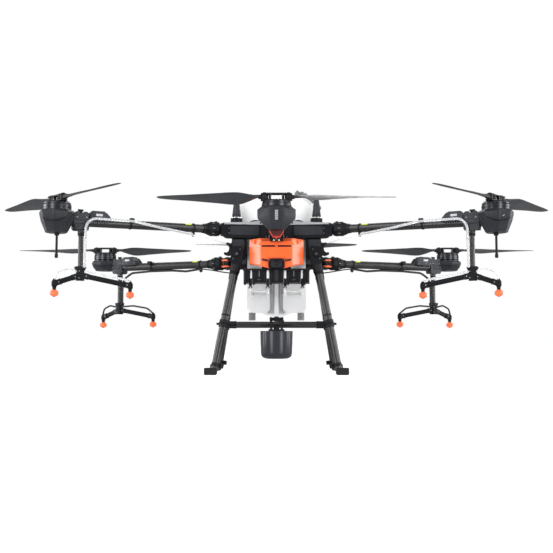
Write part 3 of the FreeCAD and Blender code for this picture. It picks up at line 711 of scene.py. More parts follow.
FRONT_POD = ((-46, 40, 2), (-44.5, 42.5, 2), (-6, 60, 0), (-3, 61.5, 0), (25, 68, 0), (30, 68.4, 0),
             (37.6, 64, 0), (39, 62, 0))
REAR_POD = ((-13, 45, 0), (-11.5, 47, 0), (5, 60, 0), (7, 61.5, 0), (23, 67, 0), (26, 67, 0),
            (30.6, 64, 0), (32, 62, 0))
CENTER_POD = ((-35, 27, 30), (-33.5, 28.4, 30), (11, 71, 1), (13, 72, 0), (37, 72, 0), (39, 71, 0),
              (47.4, 60, 0), (49, 58.4, 0))
POD_FLOOR = 27
POD_BORE = 53.8


def pod_shell(shape, stations):
    """Faceted skin of a pod, turned in at the top and down to the floor of its recess."""
    rings = [facet_ring(radius, z, 0.0, 96, forward) for z, radius, forward in stations]
    top = stations[-1][0]
    rings.append(circle_ring(54.6, top, 96))
    rings.append(circle_ring(POD_BORE, top - 1, 96))
    rings.append(circle_ring(POD_BORE, POD_FLOOR, 96))
    shape.rings(rings, POD)


def stator(shape, top):
    """Wound stator teeth in the gap under the bell, on the motor's fixed base ring."""
    shape.rod(43, POD_FLOOR, top, CLAMP, count=48)
    shape.turned(((52, POD_FLOOR), (52.4, top - 8), (50.6, top - 7.4), (50.6, top - 6), (52.4, top - 5.4),
                  (52.4, top - 1.6), (51, top - 0.6), (44, top - 0.6)), ANODISED, count=72)
    for step in range(18):
        tooth = turn_z(20 * step)
        shape.block((36, -4.2, POD_FLOOR + 1), (47.6, 4.2, top - 1), ANODISED, 1.2, tooth, 1)


def groove(shape, facing, radius, low, high, spread_angle):
    """A curved moulding line across the facets of a pod."""
    points = []
    for step in range(13):
        share = step / 6 - 1
        angle = math.radians(facing + share * spread_angle)
        sag = high + (low - high) * (1 - share ** 2)
        reach = radius * facet(angle) * 0.985
        points.append((reach * math.cos(angle), reach * math.sin(angle), sag))
    shape.sweep(points, 1.7, CLAMP, 10, steps=3)


def speed_controller(shape, side):
    """Speed controller saddled on the tube: sloping inner end, lid, screws and a blank badge."""
    outline = rounded([(-206, 6), (-200, 24), (-184, 41), (-166, 44), (-130, 44), (-122, 39), (-120, 6)], 5)
    shape.prism(outline, -27, 27, POD, "y", 3)
    shape.prism(rounded([(-180, -21), (-130, -21), (-130, 21), (-180, 21)], 5), 43.4, 46, CLAMP, bevel=0.8)
    for along_arm in (-176, -134):
        for across in (-17, 17):
            shape.bolt((along_arm, across, 45.6), STEEL, radius=2.2, height=1.4)
    for along_arm in (-196, -152, -128):
        shape.bolt((along_arm, side * 26.6, 16), STEEL, "y", 2.2, 1.0 * side)
    shape.block((-168, side * 27.6 - 0.7, 25), (-142, side * 27.6 + 0.7, 34), LIGHT_GREY, 0.4)
    for fin in range(7):
        low = -190 + 9 * fin
        shape.block((low, -24, 0), (low + 3, 24, 14), ANODISED, 0.5, None, 1)


def build_motor_mount(arm):
    """Pod round a motor, with its stator and, on a side arm, its speed controller."""
    center = arm.name in CENTER_ARMS
    front = arm.front
    stations = CENTER_POD if center else FRONT_POD if front else REAR_POD
    shape = Shape()
    pod_shell(shape, stations)
    stator(shape, arm.rise - 48.5)
    shape.ring(17.4, 23, -102 if not center else -88, -58, POD, axis="x")
    shape.prism(rounded([(-96, -16), (-48, -24), (-48, 24), (-96, 16)], 5), 10, 30 if not center else 34,
                POD, bevel=2.5)
    for across in (-1, 1):
        shape.bolt((-78, across * 10, 29), STEEL, radius=2.4, height=1.4)
    if not center:
        speed_controller(shape, arm.front_side)
    if front:
        groove(shape, arm.facing, 65, -8, 18, 58)
        shape.turned(((0, 0), (6, 0), (7, -1.4)), GREY, axis="x", count=32,
                     where=turn_z(arm.facing + 8) @ shift(60.6, 0, 14) @ Matrix.Diagonal((1, 1.4, 0.75, 1)))
        shape.rod(4.5, -128, -44, CLAMP, count=20)
        shape.turned(((0, -142), (4, -142), (6.5, -139.5), (6.5, -130), (5.6, -127), (4.4, -120)), CLAMP,
                     count=24)
        shape.turned(((9, -56), (9, -50), (12, -45)), CLAMP, count=28)
    elif center:
        lamp_strip(shape)
        for across in (-1, 1):
            shape.sweep([(66, across * 11, 36), (66.8, across * 10, 14), (62, across * 9, -6),
                         (55, across * 8.5, -30)], 0.9, CLAMP, 8)
    else:
        groove(shape, arm.facing, 64.5, 4, 20, 50)
    shape.piece(f"motor_pod_{arm.name}", f"arm_{arm.name}", arm.motor,
                [f"motor_mount_{arm.name}"], 24)


def lamp_strip(shape):
    """Segmented lamp down the outer face of a centre pod."""
    high, low, count = 30.0, -4.0, 6
    for step in range(count):
        start = high + (low - high) * step / count
        end = high + (low - high) * (step + 0.8) / count
        reach = 66.6 - 0.26 * max(0.0, 12 - (start + end) / 2)
        shape.block((reach - 6, -5.4, end), (reach + 1.4, 5.4, start), LIGHT, 0.8)


def build_signal_latch(arm):
    """Dark red signal lens that hangs in a V under the nose pod, with its two tip pins."""
    shape = Shape()
    skin = [(-24, -34), (24, -34), (24, -38), (11, -58), (-11, -58), (-24, -38)]
    shape.prism(rounded(skin, 3), 24, 42, RED_LENS, "x", 1.5)
    for side in (-1, 1):
        edge = [(24.6, -35), (22.8, -35), (22.8, -39), (10.4, -57), (10.4, -60), (12, -60), (24.6, -40)]
        shape.prism([(side * y, z) for y, z in edge], 23, 43.4, RED_EDGE, "x", 0.6)
        shape.rod(2.6, -73, -62, SILVER, (36, side * 8.4, 0), count=18)
        shape.rod(4.2, -68, -60, CLAMP, (36, side * 8.4, 0), count=18)
    shape.prism(rounded([(-12, -56), (12, -56), (12, -62), (-12, -62)], 2), 24, 42.6, RED_EDGE, "x", 1)
    shape.block((20, -20, -37), (40, 20, -29), CLAMP, 2.5)
    shape.piece(f"signal_latch_{arm.name}", f"arm_{arm.name}", arm.motor)


# ---- arm tubes, collars, lances ------------------------------------------------------------

TUBE_RADIUS = 17.5


def band(shape, at, width, material=None, radius=TUBE_RADIUS + 2.2):
    shape.ring(TUBE_RADIUS - 0.5, radius, at - width / 2, at + width / 2, material or CLAMP, axis="x")


def yoke(shape, material):
    """U-shaped end of a side arm: a base round the tube and a prong along each fork plate."""
    shape.block((13, -15.4, -17.7), (23, 15.4, 17.7), material, 2.4)
    for low, high in ((-17.7, -10), (10, 17.7)):
        prong = [(18, -15.2), (18, 15.2)]
        for step in range(9):
            angle = math.radians(90 + 22.5 * step)
            prong.append((16.4 * math.cos(angle), 16.4 * math.sin(angle)))
        shape.prism(prong, low, high, material, bevel=1.4)


def build_arm_tube(arm):
    """Carbon tube of an arm, with its hinge end, bands and mark."""
    center = arm.name in CENTER_ARMS
    shape = Shape()
    start = 16
    end = arm.length - 22
    rings = [[(x, TUBE_RADIUS * math.cos(TAU * step / 40), TUBE_RADIUS * math.sin(TAU * step / 40))
              for step in range(40)] for x in (start, start + 0.8, end)]
    shape.rings(rings, CARBON)
    hinge = "y" if center else "z"
    shape.ring(5.4, 16, -17.6, 17.6, CLAMP, axis=hinge)
    shape.block((4, -13, -13), (26, 13, 13), CLAMP, 3)
    if not center:
        yoke(shape, ORANGE_SOFT if arm.name.startswith("rear") else CLAMP)
    shape.ring(17, 18.8, 14, 34, CLAMP, axis="x")
    if not center:
        for at, width in ((96, 7), (140, 7), (408, 8)):
            band(shape, at, width)
        for side in (-1, 1):
            shape.block((135, side * 5 - 2, -33), (144, side * 5 + 2, -17), CLAMP, 0.8)
        shape.rod(3.2, -36, -17, CLAMP, (140, 0, 0), count=16)
        reach = TUBE_RADIUS + 0.35
        arc = [math.radians(35 + 110 * step / 14) for step in range(15)]
        outer = [(152, reach * math.cos(a), reach * math.sin(a)) for a in arc]
        ends = [(178, y, z) for _, y, z in outer]
        inner = [(152, y * 0.985, z * 0.985) for _, y, z in reversed(outer)]
        inner_ends = [(178, y, z) for _, y, z in inner]
        shape.rings([outer + inner, ends + inner_ends], MARK)
        side = arm.front_side
        shape.block((399, side * 16 if side > 0 else -36, 6), (417, 36 if side > 0 else -16, 22), CLAMP, 3)
    shape.piece(f"arm_tube_{arm.name}", f"arm_{arm.name}", arm.tube, [f"arm_{arm.name}"])


def build_collar(arm):
    """Octagonal locking collar with its grip ribs and end rings."""
    shape = Shape()
    stations = ((22, 24.5), (24, 27.5), (28, 30.5), (31, 31.5), (43, 31.5), (45, 29.4), (49, 29.4),
                (51, 31.2), (64, 31.2), (66.5, 28.6), (74, 26.8), (79, 24.6), (80, 23))
    rings = [[(x, y, z) for y, z, _ in facet_ring(radius, 0, 0.1, 64)] for x, radius in stations]
    rings.append([(80, y, z) for y, z in oval(17.6, 64, phase=TAU * 0.5 / 64)])
    rings.insert(0, [(22, y, z) for y, z in oval(17.6, 64, phase=TAU * 0.5 / 64)])
    shape.rings(rings, CLAMP, False)
    for step in range(8):
        for offset in (-13, 0, 13):
            rib = turn_x(45 * step + offset)
            foot, material = (27.4, CLAMP) if offset else (28.2, GREY)
            shape.block((52.5, -1.4, foot), (63, 1.4, 30.4), material, 0.5, rib, 1)
    shape.block((33, -7, 28.6), (42, 7, 33), PLASTIC, 1.4)
    shape.ring(17.58, 21.5, 78, 88, CLAMP, axis="x")
    shape.piece(f"lock_collar_{arm.name}", f"arm_lock_{arm.name}", arm.tube,
                [f"arm_lock_{arm.name}"], 26)


LANCE_BACK = 92
BOOM_REACH = (5, -290)
BOOM_DROP = 239
HUB_TOP = 180


def boom(shape, tip_x):
    """A drooping arm of the lance: a flattened tube that ends in the nozzle's boss."""
    start = Vector((-LANCE_BACK, 0, -204))
    tip = Vector((tip_x, 0, -BOOM_DROP))
    run = tip - start
    tilt = math.degrees(math.atan2(-run.z, run.x))
    length = run.length
    where = shift(*start) @ turn_y(tilt)
    shape.prism(rounded([(-7.5, -10), (7.5, -10), (7.5, 10), (-7.5, 10)], 5), 10, length - 4, PLASTIC, "x",
                1.2, where)
    shape.prism(rounded([(-8.6, -11.4), (8.6, -11.4), (8.6, 11.4), (-8.6, 11.4)], 4), 12, 34, CLAMP, "x",
                1.5, where)
    shape.prism(rounded([(-8.6, -11.2), (8.6, -11.2), (8.6, 11.2), (-8.6, 11.2)], 4), length - 24,
                length - 6, CLAMP, "x", 1.5, where)
    for at in (22, length - 15):
        shape.bolt((at, -8.4, 0), STEEL, "y", 2.2, -1.2, where)
        shape.bolt((at, 8.4, 0), STEEL, "y", 2.2, 1.2, where)
    shape.turned(((0, -BOOM_DROP - 12), (9, -BOOM_DROP - 12), (10.6, -BOOM_DROP - 10), (11, -BOOM_DROP + 4),
                  (9, -BOOM_DROP + 11), (6.5, -BOOM_DROP + 13), (5, -BOOM_DROP + 18), (0, -BOOM_DROP + 18)),
                 PLASTIC, (tip_x, 0, 0), count=28)


def build_lance(arm):
    """Spray lance beside a side motor, with its clamp, drop tube, hub and booms."""
    shape = Shape()
    outline = rounded([(-118, -26), (-112, -30), (-66, -30), (-61, -25), (-61, 30), (-68, 40), (-80, 40),
                       (-83, 34), (-95, 34), (-98, 40), (-112, 40), (-118, 32)], 3)
    shape.prism(outline, -21, 21, POD, "y", 2)
    for across in (-1, 1):
        shape.block((-119, across * 12 - 2, -31), (-60, across * 12 + 2, -28), CLAMP, 0.8)
        for along_arm in (-108, -71):
            shape.bolt((along_arm, across * 21 - (0.2 * across), 18), STEEL, "y", 2.6, 1.4 * across)
    shape.turned(((0, 38), (6, 38), (7.4, 40), (7.4, 47), (6, 49), (0, 49)), CLAMP, (-89, 0, 0), count=12)
    shape.prism(rounded([(-100, -2.4), (-78, -2.4), (-78, 2.4), (-100, 2.4)], 2), 44, 51, CLAMP, bevel=0.8)
    shape.turned(((0, -HUB_TOP - 2), (10, -HUB_TOP - 2), (10, -52), (12.6, -49), (13.5, -34), (13.5, -27)),
                 CARBON, (-LANCE_BACK, 0, 0), count=36)
    shape.ring(9.6, 13, -52, -40, CLAMP, (-LANCE_BACK, 0, 0))
    shape.ring(9.6, 12.4, -HUB_TOP - 2, -HUB_TOP + 10, CLAMP, (-LANCE_BACK, 0, 0))
    hub = rounded([(-14, -14), (14, -14), (14, 14), (-14, 14)], 6)
    shape.prism([(x - LANCE_BACK, y) for x, y in hub], -225, -180, PLASTIC, bevel=2.5)
    for side in (-1, 1):
        shape.prism(rounded([(side * 7 - LANCE_BACK, -187), (side * 16 - LANCE_BACK, -187),
                             (side * 22 - LANCE_BACK, -174), (side * 15 - LANCE_BACK, -170),
                             (side * 9 - LANCE_BACK, -177)], 2), -9, 9, CLAMP, "y", 0.8)
        for level in (-190, -216):
            shape.bolt((-LANCE_BACK + side * 8, side * 14, level), STEEL, "y", 2.2, 1.4 * side)
    for tip_x in BOOM_REACH:
        boom(shape, tip_x)
    shape.piece(f"spray_lance_{arm.name}", f"arm_{arm.name}", arm.motor, [f"lance_{arm.name}"])


def build_nozzles(arm):
    """Nozzle bodies and their caps at the ends of the booms."""
    shape = Shape()
    for tip_x in BOOM_REACH:
        shape.turned(((0, -251), (6.5, -251), (7.5, -252.5), (7.5, -258), (6, -259), (6, -261), (8, -262),
                      (8, -264)), PLASTIC, (tip_x, 0, 0), count=24)
        profile = [(0, -288)]
        for step in range(15):
            angle = math.radians(-58 + 116 * step / 14)
            profile.append((15 * math.cos(angle), -275.5 + 14.6 * math.sin(angle)))
        profile.append((0, -263))
        shape.turned(profile, ORANGE_SOFT, (tip_x, 0, 0), count=32)
        for step in range(8):
            wing = turn_z(45 * step)
            place = shift(tip_x, 0, 0) @ wing
            shape.block((12.6, -1.5, -283), (15.7, 1.5, -268), ORANGE_SOFT, 1.2, place)
        shape.turned(((0, -290.2), (3.2, -290.2), (4, -289), (4, -286)), STEEL, (tip_x, 0, 0), count=16)
        shape.block((tip_x - 2, -13, -258), (tip_x + 2, 13, -254), CLAMP, 1)
    shape.piece(f"nozzle_caps_{arm.name}", f"arm_{arm.name}", arm.motor,
                [f"nozzles_{arm.name}"])


def build_bridge_hose(arm):
    """Clear hose that runs from the airframe to the arm across its hinge."""
    side = arm.front_side
    start = arm.root.inverted() @ Vector((arm.pivot.x * 0.84, arm.pivot.y * 1.15, arm.pivot.z - 52))
    points = [tuple(start), (12, side * 24, -48), (60, side * 26, -38), (110, side * 20, -30),
              (152, side * 15, -22) if arm.front else (152, 0, -27)]
    shape = Shape()
    shape.sweep(points, 2.6, HOSE_CLEAR if arm.front else HOSE_BLACK, 12)
    item = shape.piece(f"bridge_hose_{arm.name}", None, arm.root)
    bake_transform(item)


def build_arm(arm):
    """Everything that an arm carries."""
    build_blade(arm, "a", 0)
    build_blade(arm, "b", 180)
    build_rotor_hub(arm)
    build_motor_mount(arm)
    build_arm_tube(arm)
    if arm.name in SIDE_ARMS:
        build_collar(arm)
        build_lance(arm)
        build_nozzles(arm)
        build_bridge_hose(arm)
        hose = frame["nodes"][f"arm_hose_{arm.name}"]
        hose.data.materials.clear()
        hose.data.materials.append(HOSE_WHITE if arm.front else HOSE_BLACK)
        hose.data.shade_smooth()


# ---- airframe ------------------------------------------------------------------------------

FRONT_BEAM = (558, 620)
REAR_BEAM = (456, 520)
BEAM_NEAR = 82
BEAM_FAR = 158


def fork_plates(shape, arm):
    """The two hinge plates at a side arm's root, with the pin's heads."""
    for low, high, head in ((17.9, 26, 1), (-26, -17.9, -1)):
        outline = [(-41, -15), (2, -15)]
        outline += [(15.5 * math.cos(a), 15.5 * math.sin(a))
                    for a in [math.radians(-80 + 20 * step) for step in range(9)]]
        outline += [(2, 15), (-41, 15)]
        shape.prism(outline, low, high, PLASTIC, bevel=1.6, where=arm.knuckle)
        end = high if head > 0 else low
        shape.turned(((0, end - head), (7.5, end - head), (7.5, end + 2.4 * head), (6.4, end + 3.4 * head),
                      (3.4, end + 3.4 * head), (3.2, end + head), (0, end + head)), STEEL, count=24,
                     where=arm.knuckle)
    shape.block((-41, -14.6, -19), (-29, 14.6, 19), PLASTIC, 2, arm.knuckle)


def center_lugs(shape, arm):
    """Ears either side of a centre arm, their cross pin and its heads."""
    sign = 1 if arm.pivot.y > 0 else -1
    near = BEAM_FAR - 8
    low = 500 if sign > 0 else 534
    for side in (-1, 1):
        ear = [(near, low), (near + 45, low), (abs(arm.pivot.y) + 16, arm.pivot.z - 15),
               (abs(arm.pivot.y) + 16, arm.pivot.z + 12), (abs(arm.pivot.y) + 8, arm.pivot.z + 17),
               (near + 20, arm.pivot.z + 26), (near, arm.pivot.z + 26)]
        inner = side * 18.2
        outer = side * 27
        shape.prism([(sign * y, z) for y, z in ear], min(inner, outer), max(inner, outer), PLASTIC, "x", 1.8)
        shape.turned(((0, 0), (8, 0), (8, 2.6), (6.6, 3.6), (3.4, 3.6), (3.2, 1), (0, 1)), STEEL,
                     (0, 0, 0), count=24, where=shift(outer, arm.pivot.y, arm.pivot.z) @ turn_y(90 * side))
    shape.rod(5, -27, 27, STEEL, (0, arm.pivot.y, arm.pivot.z), "x", count=20)


def build_front_beam():
    """Front cross beam, with the hinges of the front arms and the nose arm."""
    shape = Shape()
    low, high = FRONT_BEAM
    half = [(0, low + 4), (120, low + 5), (212, low + 9), (222, low + 13), (226, low + 20), (226, high - 8),
            (222, high - 2), (214, high), (0, high)]
    outline = rounded(half + [(-x, z) for x, z in reversed(half) if x], 4)
    shape.prism(outline, -BEAM_FAR - 4, -BEAM_NEAR, PLASTIC, "y", 4, segments=3)
    for side in (-1, 1):
        # raised grey strip along the beam's top edge: a painted highlight where light catches the top
        lip = [(46, high - 4), (216, high - 1), (212, high + 3), (110, high + 5.5), (70, high + 10),
               (46, high + 10)]
        shape.prism([(side * x, z) for x, z in lip], -BEAM_FAR - 5, -BEAM_NEAR - 8, LIP_PAINTED_HIGHLIGHT, "y", 1.4)
        shape.bolt((side * 66, -BEAM_FAR - 4.6, high + 2), CLAMP, "y", 3.2, -1.6)
        shape.bolt((side * 196, -BEAM_FAR - 4, high - 20), STEEL, "y", 2.6, -1.4)
        shape.bolt((side * 196, -BEAM_FAR - 4, low + 22), STEEL, "y", 2.6, -1.4)
        panel = [(74, low + 13), (190, low + 17), (190, high - 12), (74, high - 9)]
        shape.prism(rounded([(side * x, z) for x, z in panel], 6), -BEAM_FAR - 5.2, -BEAM_FAR - 2, POD,
                    "y", 1.2)
        fender = []
        for step in range(9):
            angle = math.radians(200 - 27 * step)
            fender.append((side * (88 + 26 * math.cos(angle)), high + 2 + 13 * math.sin(angle)))
        shape.prism(fender, -BEAM_FAR + 6, -BEAM_NEAR - 14, CLAMP, "y", 1.5)
        housing = [(24, -36), (58, -30), (58, 28), (46, 40), (24, 40)]
        shape.prism([(side * x, 549 + z + 22) for x, z in housing], -BEAM_FAR - 60, -BEAM_FAR + 6, PLASTIC,
                    "y", 3)
        shape.bolt((side * 42, -BEAM_FAR - 60, 556), STEEL, "y", 2.6, -1.4)
    shape.block((-27, -BEAM_FAR - 26, 560), (27, -BEAM_FAR + 4, 612), PLASTIC, 3)
    for name in ("front_left", "front_right"):
        fork_plates(shape, ARM[name])
    center_lugs(shape, ARM["nose"])
    shape.piece("front_beam_housing", "airframe", replaces=["front_beam"])


def build_rear_beam():
    """Rear cross beam, with the hinges of the rear arms and the tail arm."""
    shape = Shape()
    low, high = REAR_BEAM
    outline = rounded([(-200, low + 6), (-190, low), (190, low), (200, low + 6), (200, high - 8),
                       (190, high), (-190, high), (-200, high - 8)], 4)
    shape.prism(outline, BEAM_NEAR, BEAM_FAR, PLASTIC, "y", 3, segments=3)
    shape.prism(rounded([(-100, 84), (100, 84), (100, 206), (-100, 206)], 10), 566, 571, CLAMP, bevel=1.2)
    for side in (-1, 1):
        shape.block((side * 98 - 2, 90, 568), (side * 98 + 2, 200, 596), CLAMP, 1.4)
        shape.block((side * 70 - 15, 100, high - 4), (side * 70 + 15, 130, 567), PLASTIC, 3)
        shape.prism(rounded([(x * side, z) for x, z in ((40, low + 10), (150, low + 10), (140, high - 12),
                                                       (52, high - 12))], 7),
                    BEAM_FAR - 1, BEAM_FAR + 2.5, POD, "y", 1)
        for across in (30, 165):
            shape.bolt((side * across, BEAM_FAR, low + 32), STEEL, "y", 3, 2)
    for name in ("rear_left", "rear_right"):
        fork_plates(shape, ARM[name])
    center_lugs(shape, ARM["tail"])
    shape.piece("rear_beam_housing", "airframe", replaces=["rear_beam"])


def build_side_frames():
    """Side plates between the beams, with their pockets, stiffening ribs, screws and stowing hooks."""
    shape = Shape()
    skin = rounded([(-158, 470), (81, 470), (81, 520), (158, 522), (158, 578), (128, 600), (-81, 600),
                    (-81, 558), (-158, 558)], 7)
    for side in (-1, 1):
        inner, outer = side * 130, side * 185
        shape.prism(skin, min(inner, outer), max(inner, outer), PLASTIC, "x", 3, segments=3)
        face = side * 185
        for y_low, y_high in ((-150, -96), (-86, -12), (2, 74)):
            pocket = rounded([(y_low, 482), (y_high, 482), (y_high, 546), (y_low, 546)], 8)
            ring_low, ring_high = min(face - side, face + 2.6 * side), max(face - side, face + 2.6 * side)
            shape.prism(pocket, ring_low, ring_high, POD, "x", 1)
            for y, z in ((y_low + 8, 490), (y_high - 8, 538)):
                shape.bolt((0, 0, 0), CLAMP, radius=2.8, height=1.8,
                           where=shift(face + 2.4 * side, y, z) @ turn_y(90 * side))
        shape.prism(rounded([(side * 134, 476), (side * 181, 476), (side * 181, 552), (side * 134, 552)], 6),
                    -161.5, -157, POD, "y", 1.2)
        for x, z in ((142, 486), (173, 542)):
            shape.bolt((side * x, -161.2, z), CLAMP, "y", 2.6, -1.4)
        hook = [(184, 536), (204, 543), (211, 538), (200, 529), (196, 520), (198, 508), (206, 500),
                (217, 502), (219, 494), (203, 488), (184, 491)]
        shape.prism(rounded([(side * x, z) for x, z in hook], 3), -150, -118, CLAMP, "y", 1.6)
        shape.prism(rounded([(side * x, z) for x, z in hook], 3), 96, 124, CLAMP, "y", 1.6)
        for route in (((side * 150, -156, 476), (side * 146, -176, 452), (side * 128, -176, 430),
                       (side * 116, -160, 424)),
                      ((side * 178, -150, 480), (side * 172, -170, 458), (side * 150, -178, 440),
                       (side * 132, -170, 424))):
            shape.sweep(route, 3, HOSE_BLACK, 10)
    shape.piece("side_frame_plates", "airframe", replaces=["side_frames"])


def shell_strip(levels, wall):
    """A curved wall: outer points per level, closed by the same points set back."""
    rings = []
    for outer in levels:
        inner = []
        for x, y, z in reversed(outer):
            inner.append((x * (1 - wall / 110), y + wall if y < -206 else y, z))
        rings.append(list(outer) + inner)
    return rings


def build_front_shell():
    """Orange nose cover: a flat face, slanting cheeks, cut lower corners and two notches."""
    shape = Shape()
    cheek = ((-110, -165), (-110, -206), (-66, -260))
    face = (-58, -46, -42, -33, -31.5, 31.5, 33, 42, 46, 58)
    plan = list(cheek) + [(x, -262) for x in face] + [(-x, y) for x, y in reversed(cheek)]

    def bottom(x):
        if abs(x) < 32:
            return 461
        return 425 + (abs(x) - 32) * 0.27

    def top(x):
        return 546 if abs(x) >= 66 else 533

    levels = []
    for share in (0.0, 0.04, 0.5, 0.96, 1.0):
        shrink = 1.5 if share in (0.0, 1.0) else 0
        ring = []
        for x, y in plan:
            low, high = bottom(x), top(x)
            lean = 4 * (1 - share) if y < -200 else 0
            ring.append((x * (1 - shrink / 160), y + shrink + lean, low + (high - low) * share))
        levels.append(ring)
    shape.rings(shell_strip(levels, 3), ORANGE, bevel=0.0)
    face_panel = rounded([(-61, 509), (61, 509), (61, 470), (50, 466), (36, 466), (30, 468), (-30, 468),
                          (-36, 466), (-50, 466), (-61, 470)], 4)
    shape.prism(face_panel, -263.6, -258, ORANGE, "y", 1.0)
    for side in (-1, 1):
        brow = [(4, 524), (52, 524), (62, 535), (70, 519), (4, 519)]
        shape.prism([(side * x, z) for x, z in brow], -264.4, -259, ORANGE, "y", 0.9)
        shape.prism([(side * x, z) for x, z in ((6, 511.5), (61, 511.5), (58, 516.8), (6, 516.8))],
                    -263, -260, LENS, "y", 0.4)
        shape.prism([(side * x, z) for x, z in ((36, 452), (57, 455.5), (61, 463), (36, 459.5))],
                    -262.6, -259, LENS, "y", 0.4)
        lug = shift(side * 92, -231, 534) @ turn_z(side * 50)
        shape.block((-9, -6, -8), (9, 2.5, 9), ORANGE, 2.5, lug)
        shape.bolt((0, -5.6, 1), CLAMP, "y", 2.6, -1.4, lug)
    shape.piece("nose_cover", "airframe", replaces=["front_shell"], crease=20)


def build_camera_head():
    """Camera under the nose cover."""
    shape = Shape()
    outline = rounded([(-30, 424.8), (30, 424.8), (31, 448), (25, 460), (-25, 460), (-31, 448)], 4)
    shape.prism(outline, -279, -236, PLASTIC, "y", 3, segments=3)
    shape.prism(rounded([(-20, 430), (20, 430), (20, 452), (-20, 452)], 6), -281.5, -277, LENS, "y", 1.4)
    shape.turned(((9.6, 276), (9.6, 283.5), (8.4, 285), (7.2, 284.4), (6, 281), (0, 279.5)), CLAMP,
                 count=36, where=shift(0, 0, 442) @ turn_x(90))
    shape.turned(((6.4, 280), (5.4, 282.4), (0, 283.4)), LENS, count=32, where=shift(0, 0, 442) @ turn_x(90))
    for side in (-1, 1):
        shape.bolt((side * 24, -278.6, 454), STEEL, "y", 1.8, -1.2)
    shape.piece("camera_cover", "airframe", replaces=["fpv_camera"])


PUMP_COLUMNS = ((-120, 26), (-69.5, 56), (0, 56), (69.5, 56), (120, 26))


def build_pump_bank():
    """Pump columns under the nose cover, their fins, plugs and outlets, and the hoses to the tank."""
    shape = Shape()
    shape.prism(rounded([(-134, -250), (134, -250), (134, -158), (-134, -158)], 8), 418, 424.6, CLAMP,
                bevel=1.2)
    for middle, width in PUMP_COLUMNS:
        half = width / 2
        outline = rounded([(middle - half, -240), (middle - half + 5, -246), (middle + half - 5, -246),
                           (middle + half, -240), (middle + half, -170), (middle - half, -170)], 3)
        shape.prism(outline, 368, 418, CLAMP, bevel=2)
        inset = half - 6
        shape.block((middle - inset, -249, 372), (middle + inset, -244, 414), PLASTIC, 2)
        shape.block((middle - half + 1, -244, 361), (middle - half + 10, -200, 370), CLAMP, 2)
        if width > 40:
            for side in (-1, 1):
                shape.block((middle + side * 20 - 1.6, -251.4, 374), (middle + side * 20 + 1.6, -248, 416),
                            CLAMP, 0.8)
            if middle:
                shape.block((middle - 1.2, -250.2, 392), (middle + 1.2, -248, 416), GREY, 0.5)
                shape.turned(((0, 247), (5, 247), (5, 252), (4, 253), (0, 253)), LENS, count=24,
                             where=shift(middle, 0, 380) @ turn_x(90))
            else:
                shape.prism(rounded([(-6, 374), (6, 374), (9, 418), (-9, 418)], 2), -251, -248, LENS,
                            "y", 0.6)
    for low, high in ((-107, -97.6), (-41.4, -28.2), (28.2, 41.4), (97.6, 107)):
        middle = (low + high) / 2
        shape.rod((high - low) * 0.4, 384, 418, SLAT_WHITE, (middle, -237, 0), count=18)
        shape.rod((high - low) * 0.42, 366, 386, CLAMP, (middle, -237, 0), count=18)
    for outlet in (-105, -35, 35, 105):
        shape.turned(((0, 346), (6.4, 346), (7.4, 348), (7.4, 352), (5, 354), (5, 358), (6.6, 359),
                      (6.6, 366), (0, 368)), CLAMP, (outlet, -226, 0), count=24)
    for side in (-1, 1):
        for outlet in (35, 105):
            points = [(side * outlet, -226, 350), (side * outlet, -224, 330), (side * outlet, -190, 320),
                      (side * (outlet - 4), -130, 324), (side * (outlet - 6), -68, 334)]
            shape.sweep(points, 4.6, HOSE_CLEAR, 14)
        loop = [(105, 352), (104, 338), (92, 332), (48, 332), (36, 338), (35, 352)]
        shape.sweep([(side * x, -232, z) for x, z in loop], 3.4, HOSE_WHITE, 12)
        shape.block((side * 46 - 14, -164, 418), (side * 46 + 14, -158, 560), PLASTIC, 1.2)
        profile = [(0, 223), (13, 223)]
        for step in range(4):
            low = 224 + 7 * step
            profile += [(15, low), (15, low + 4), (13.6, low + 4.6), (13.6, low + 6.4)]
        profile += [(15, 252), (15, 256), (0, 256)]
        shape.turned(profile, GREY, (side * 105, 0, 0), count=32)
    shape.turned(((0, -30), (7, -30), (9, -28), (9, -20), (7.5, -19), (7.5, 19), (9, 20), (9, 28), (7, 30),
                  (0, 30)), CLAMP, (0, 0, 228), "x", 28)
    shape.turned(((0, 218), (10, 218), (11, 220), (11, 238), (0, 241)), CLAMP, count=28)
    shape.piece("pump_columns", "airframe", replaces=["pump_bank"])


TANK_OUTLINE = [(-114, 262), (-62, 262), (-30, 247), (30, 247), (62, 262), (114, 262), (114, 604),
                (158, 636), (158, 691), (77, 752), (-120, 752), (-158, 728), (-158, 636), (-114, 604)]
TANK_HALF_DEPTH = 74
FILLER = shift(124, 0, 716) @ turn_y(37)
LID_HINGE = (-66, 32)


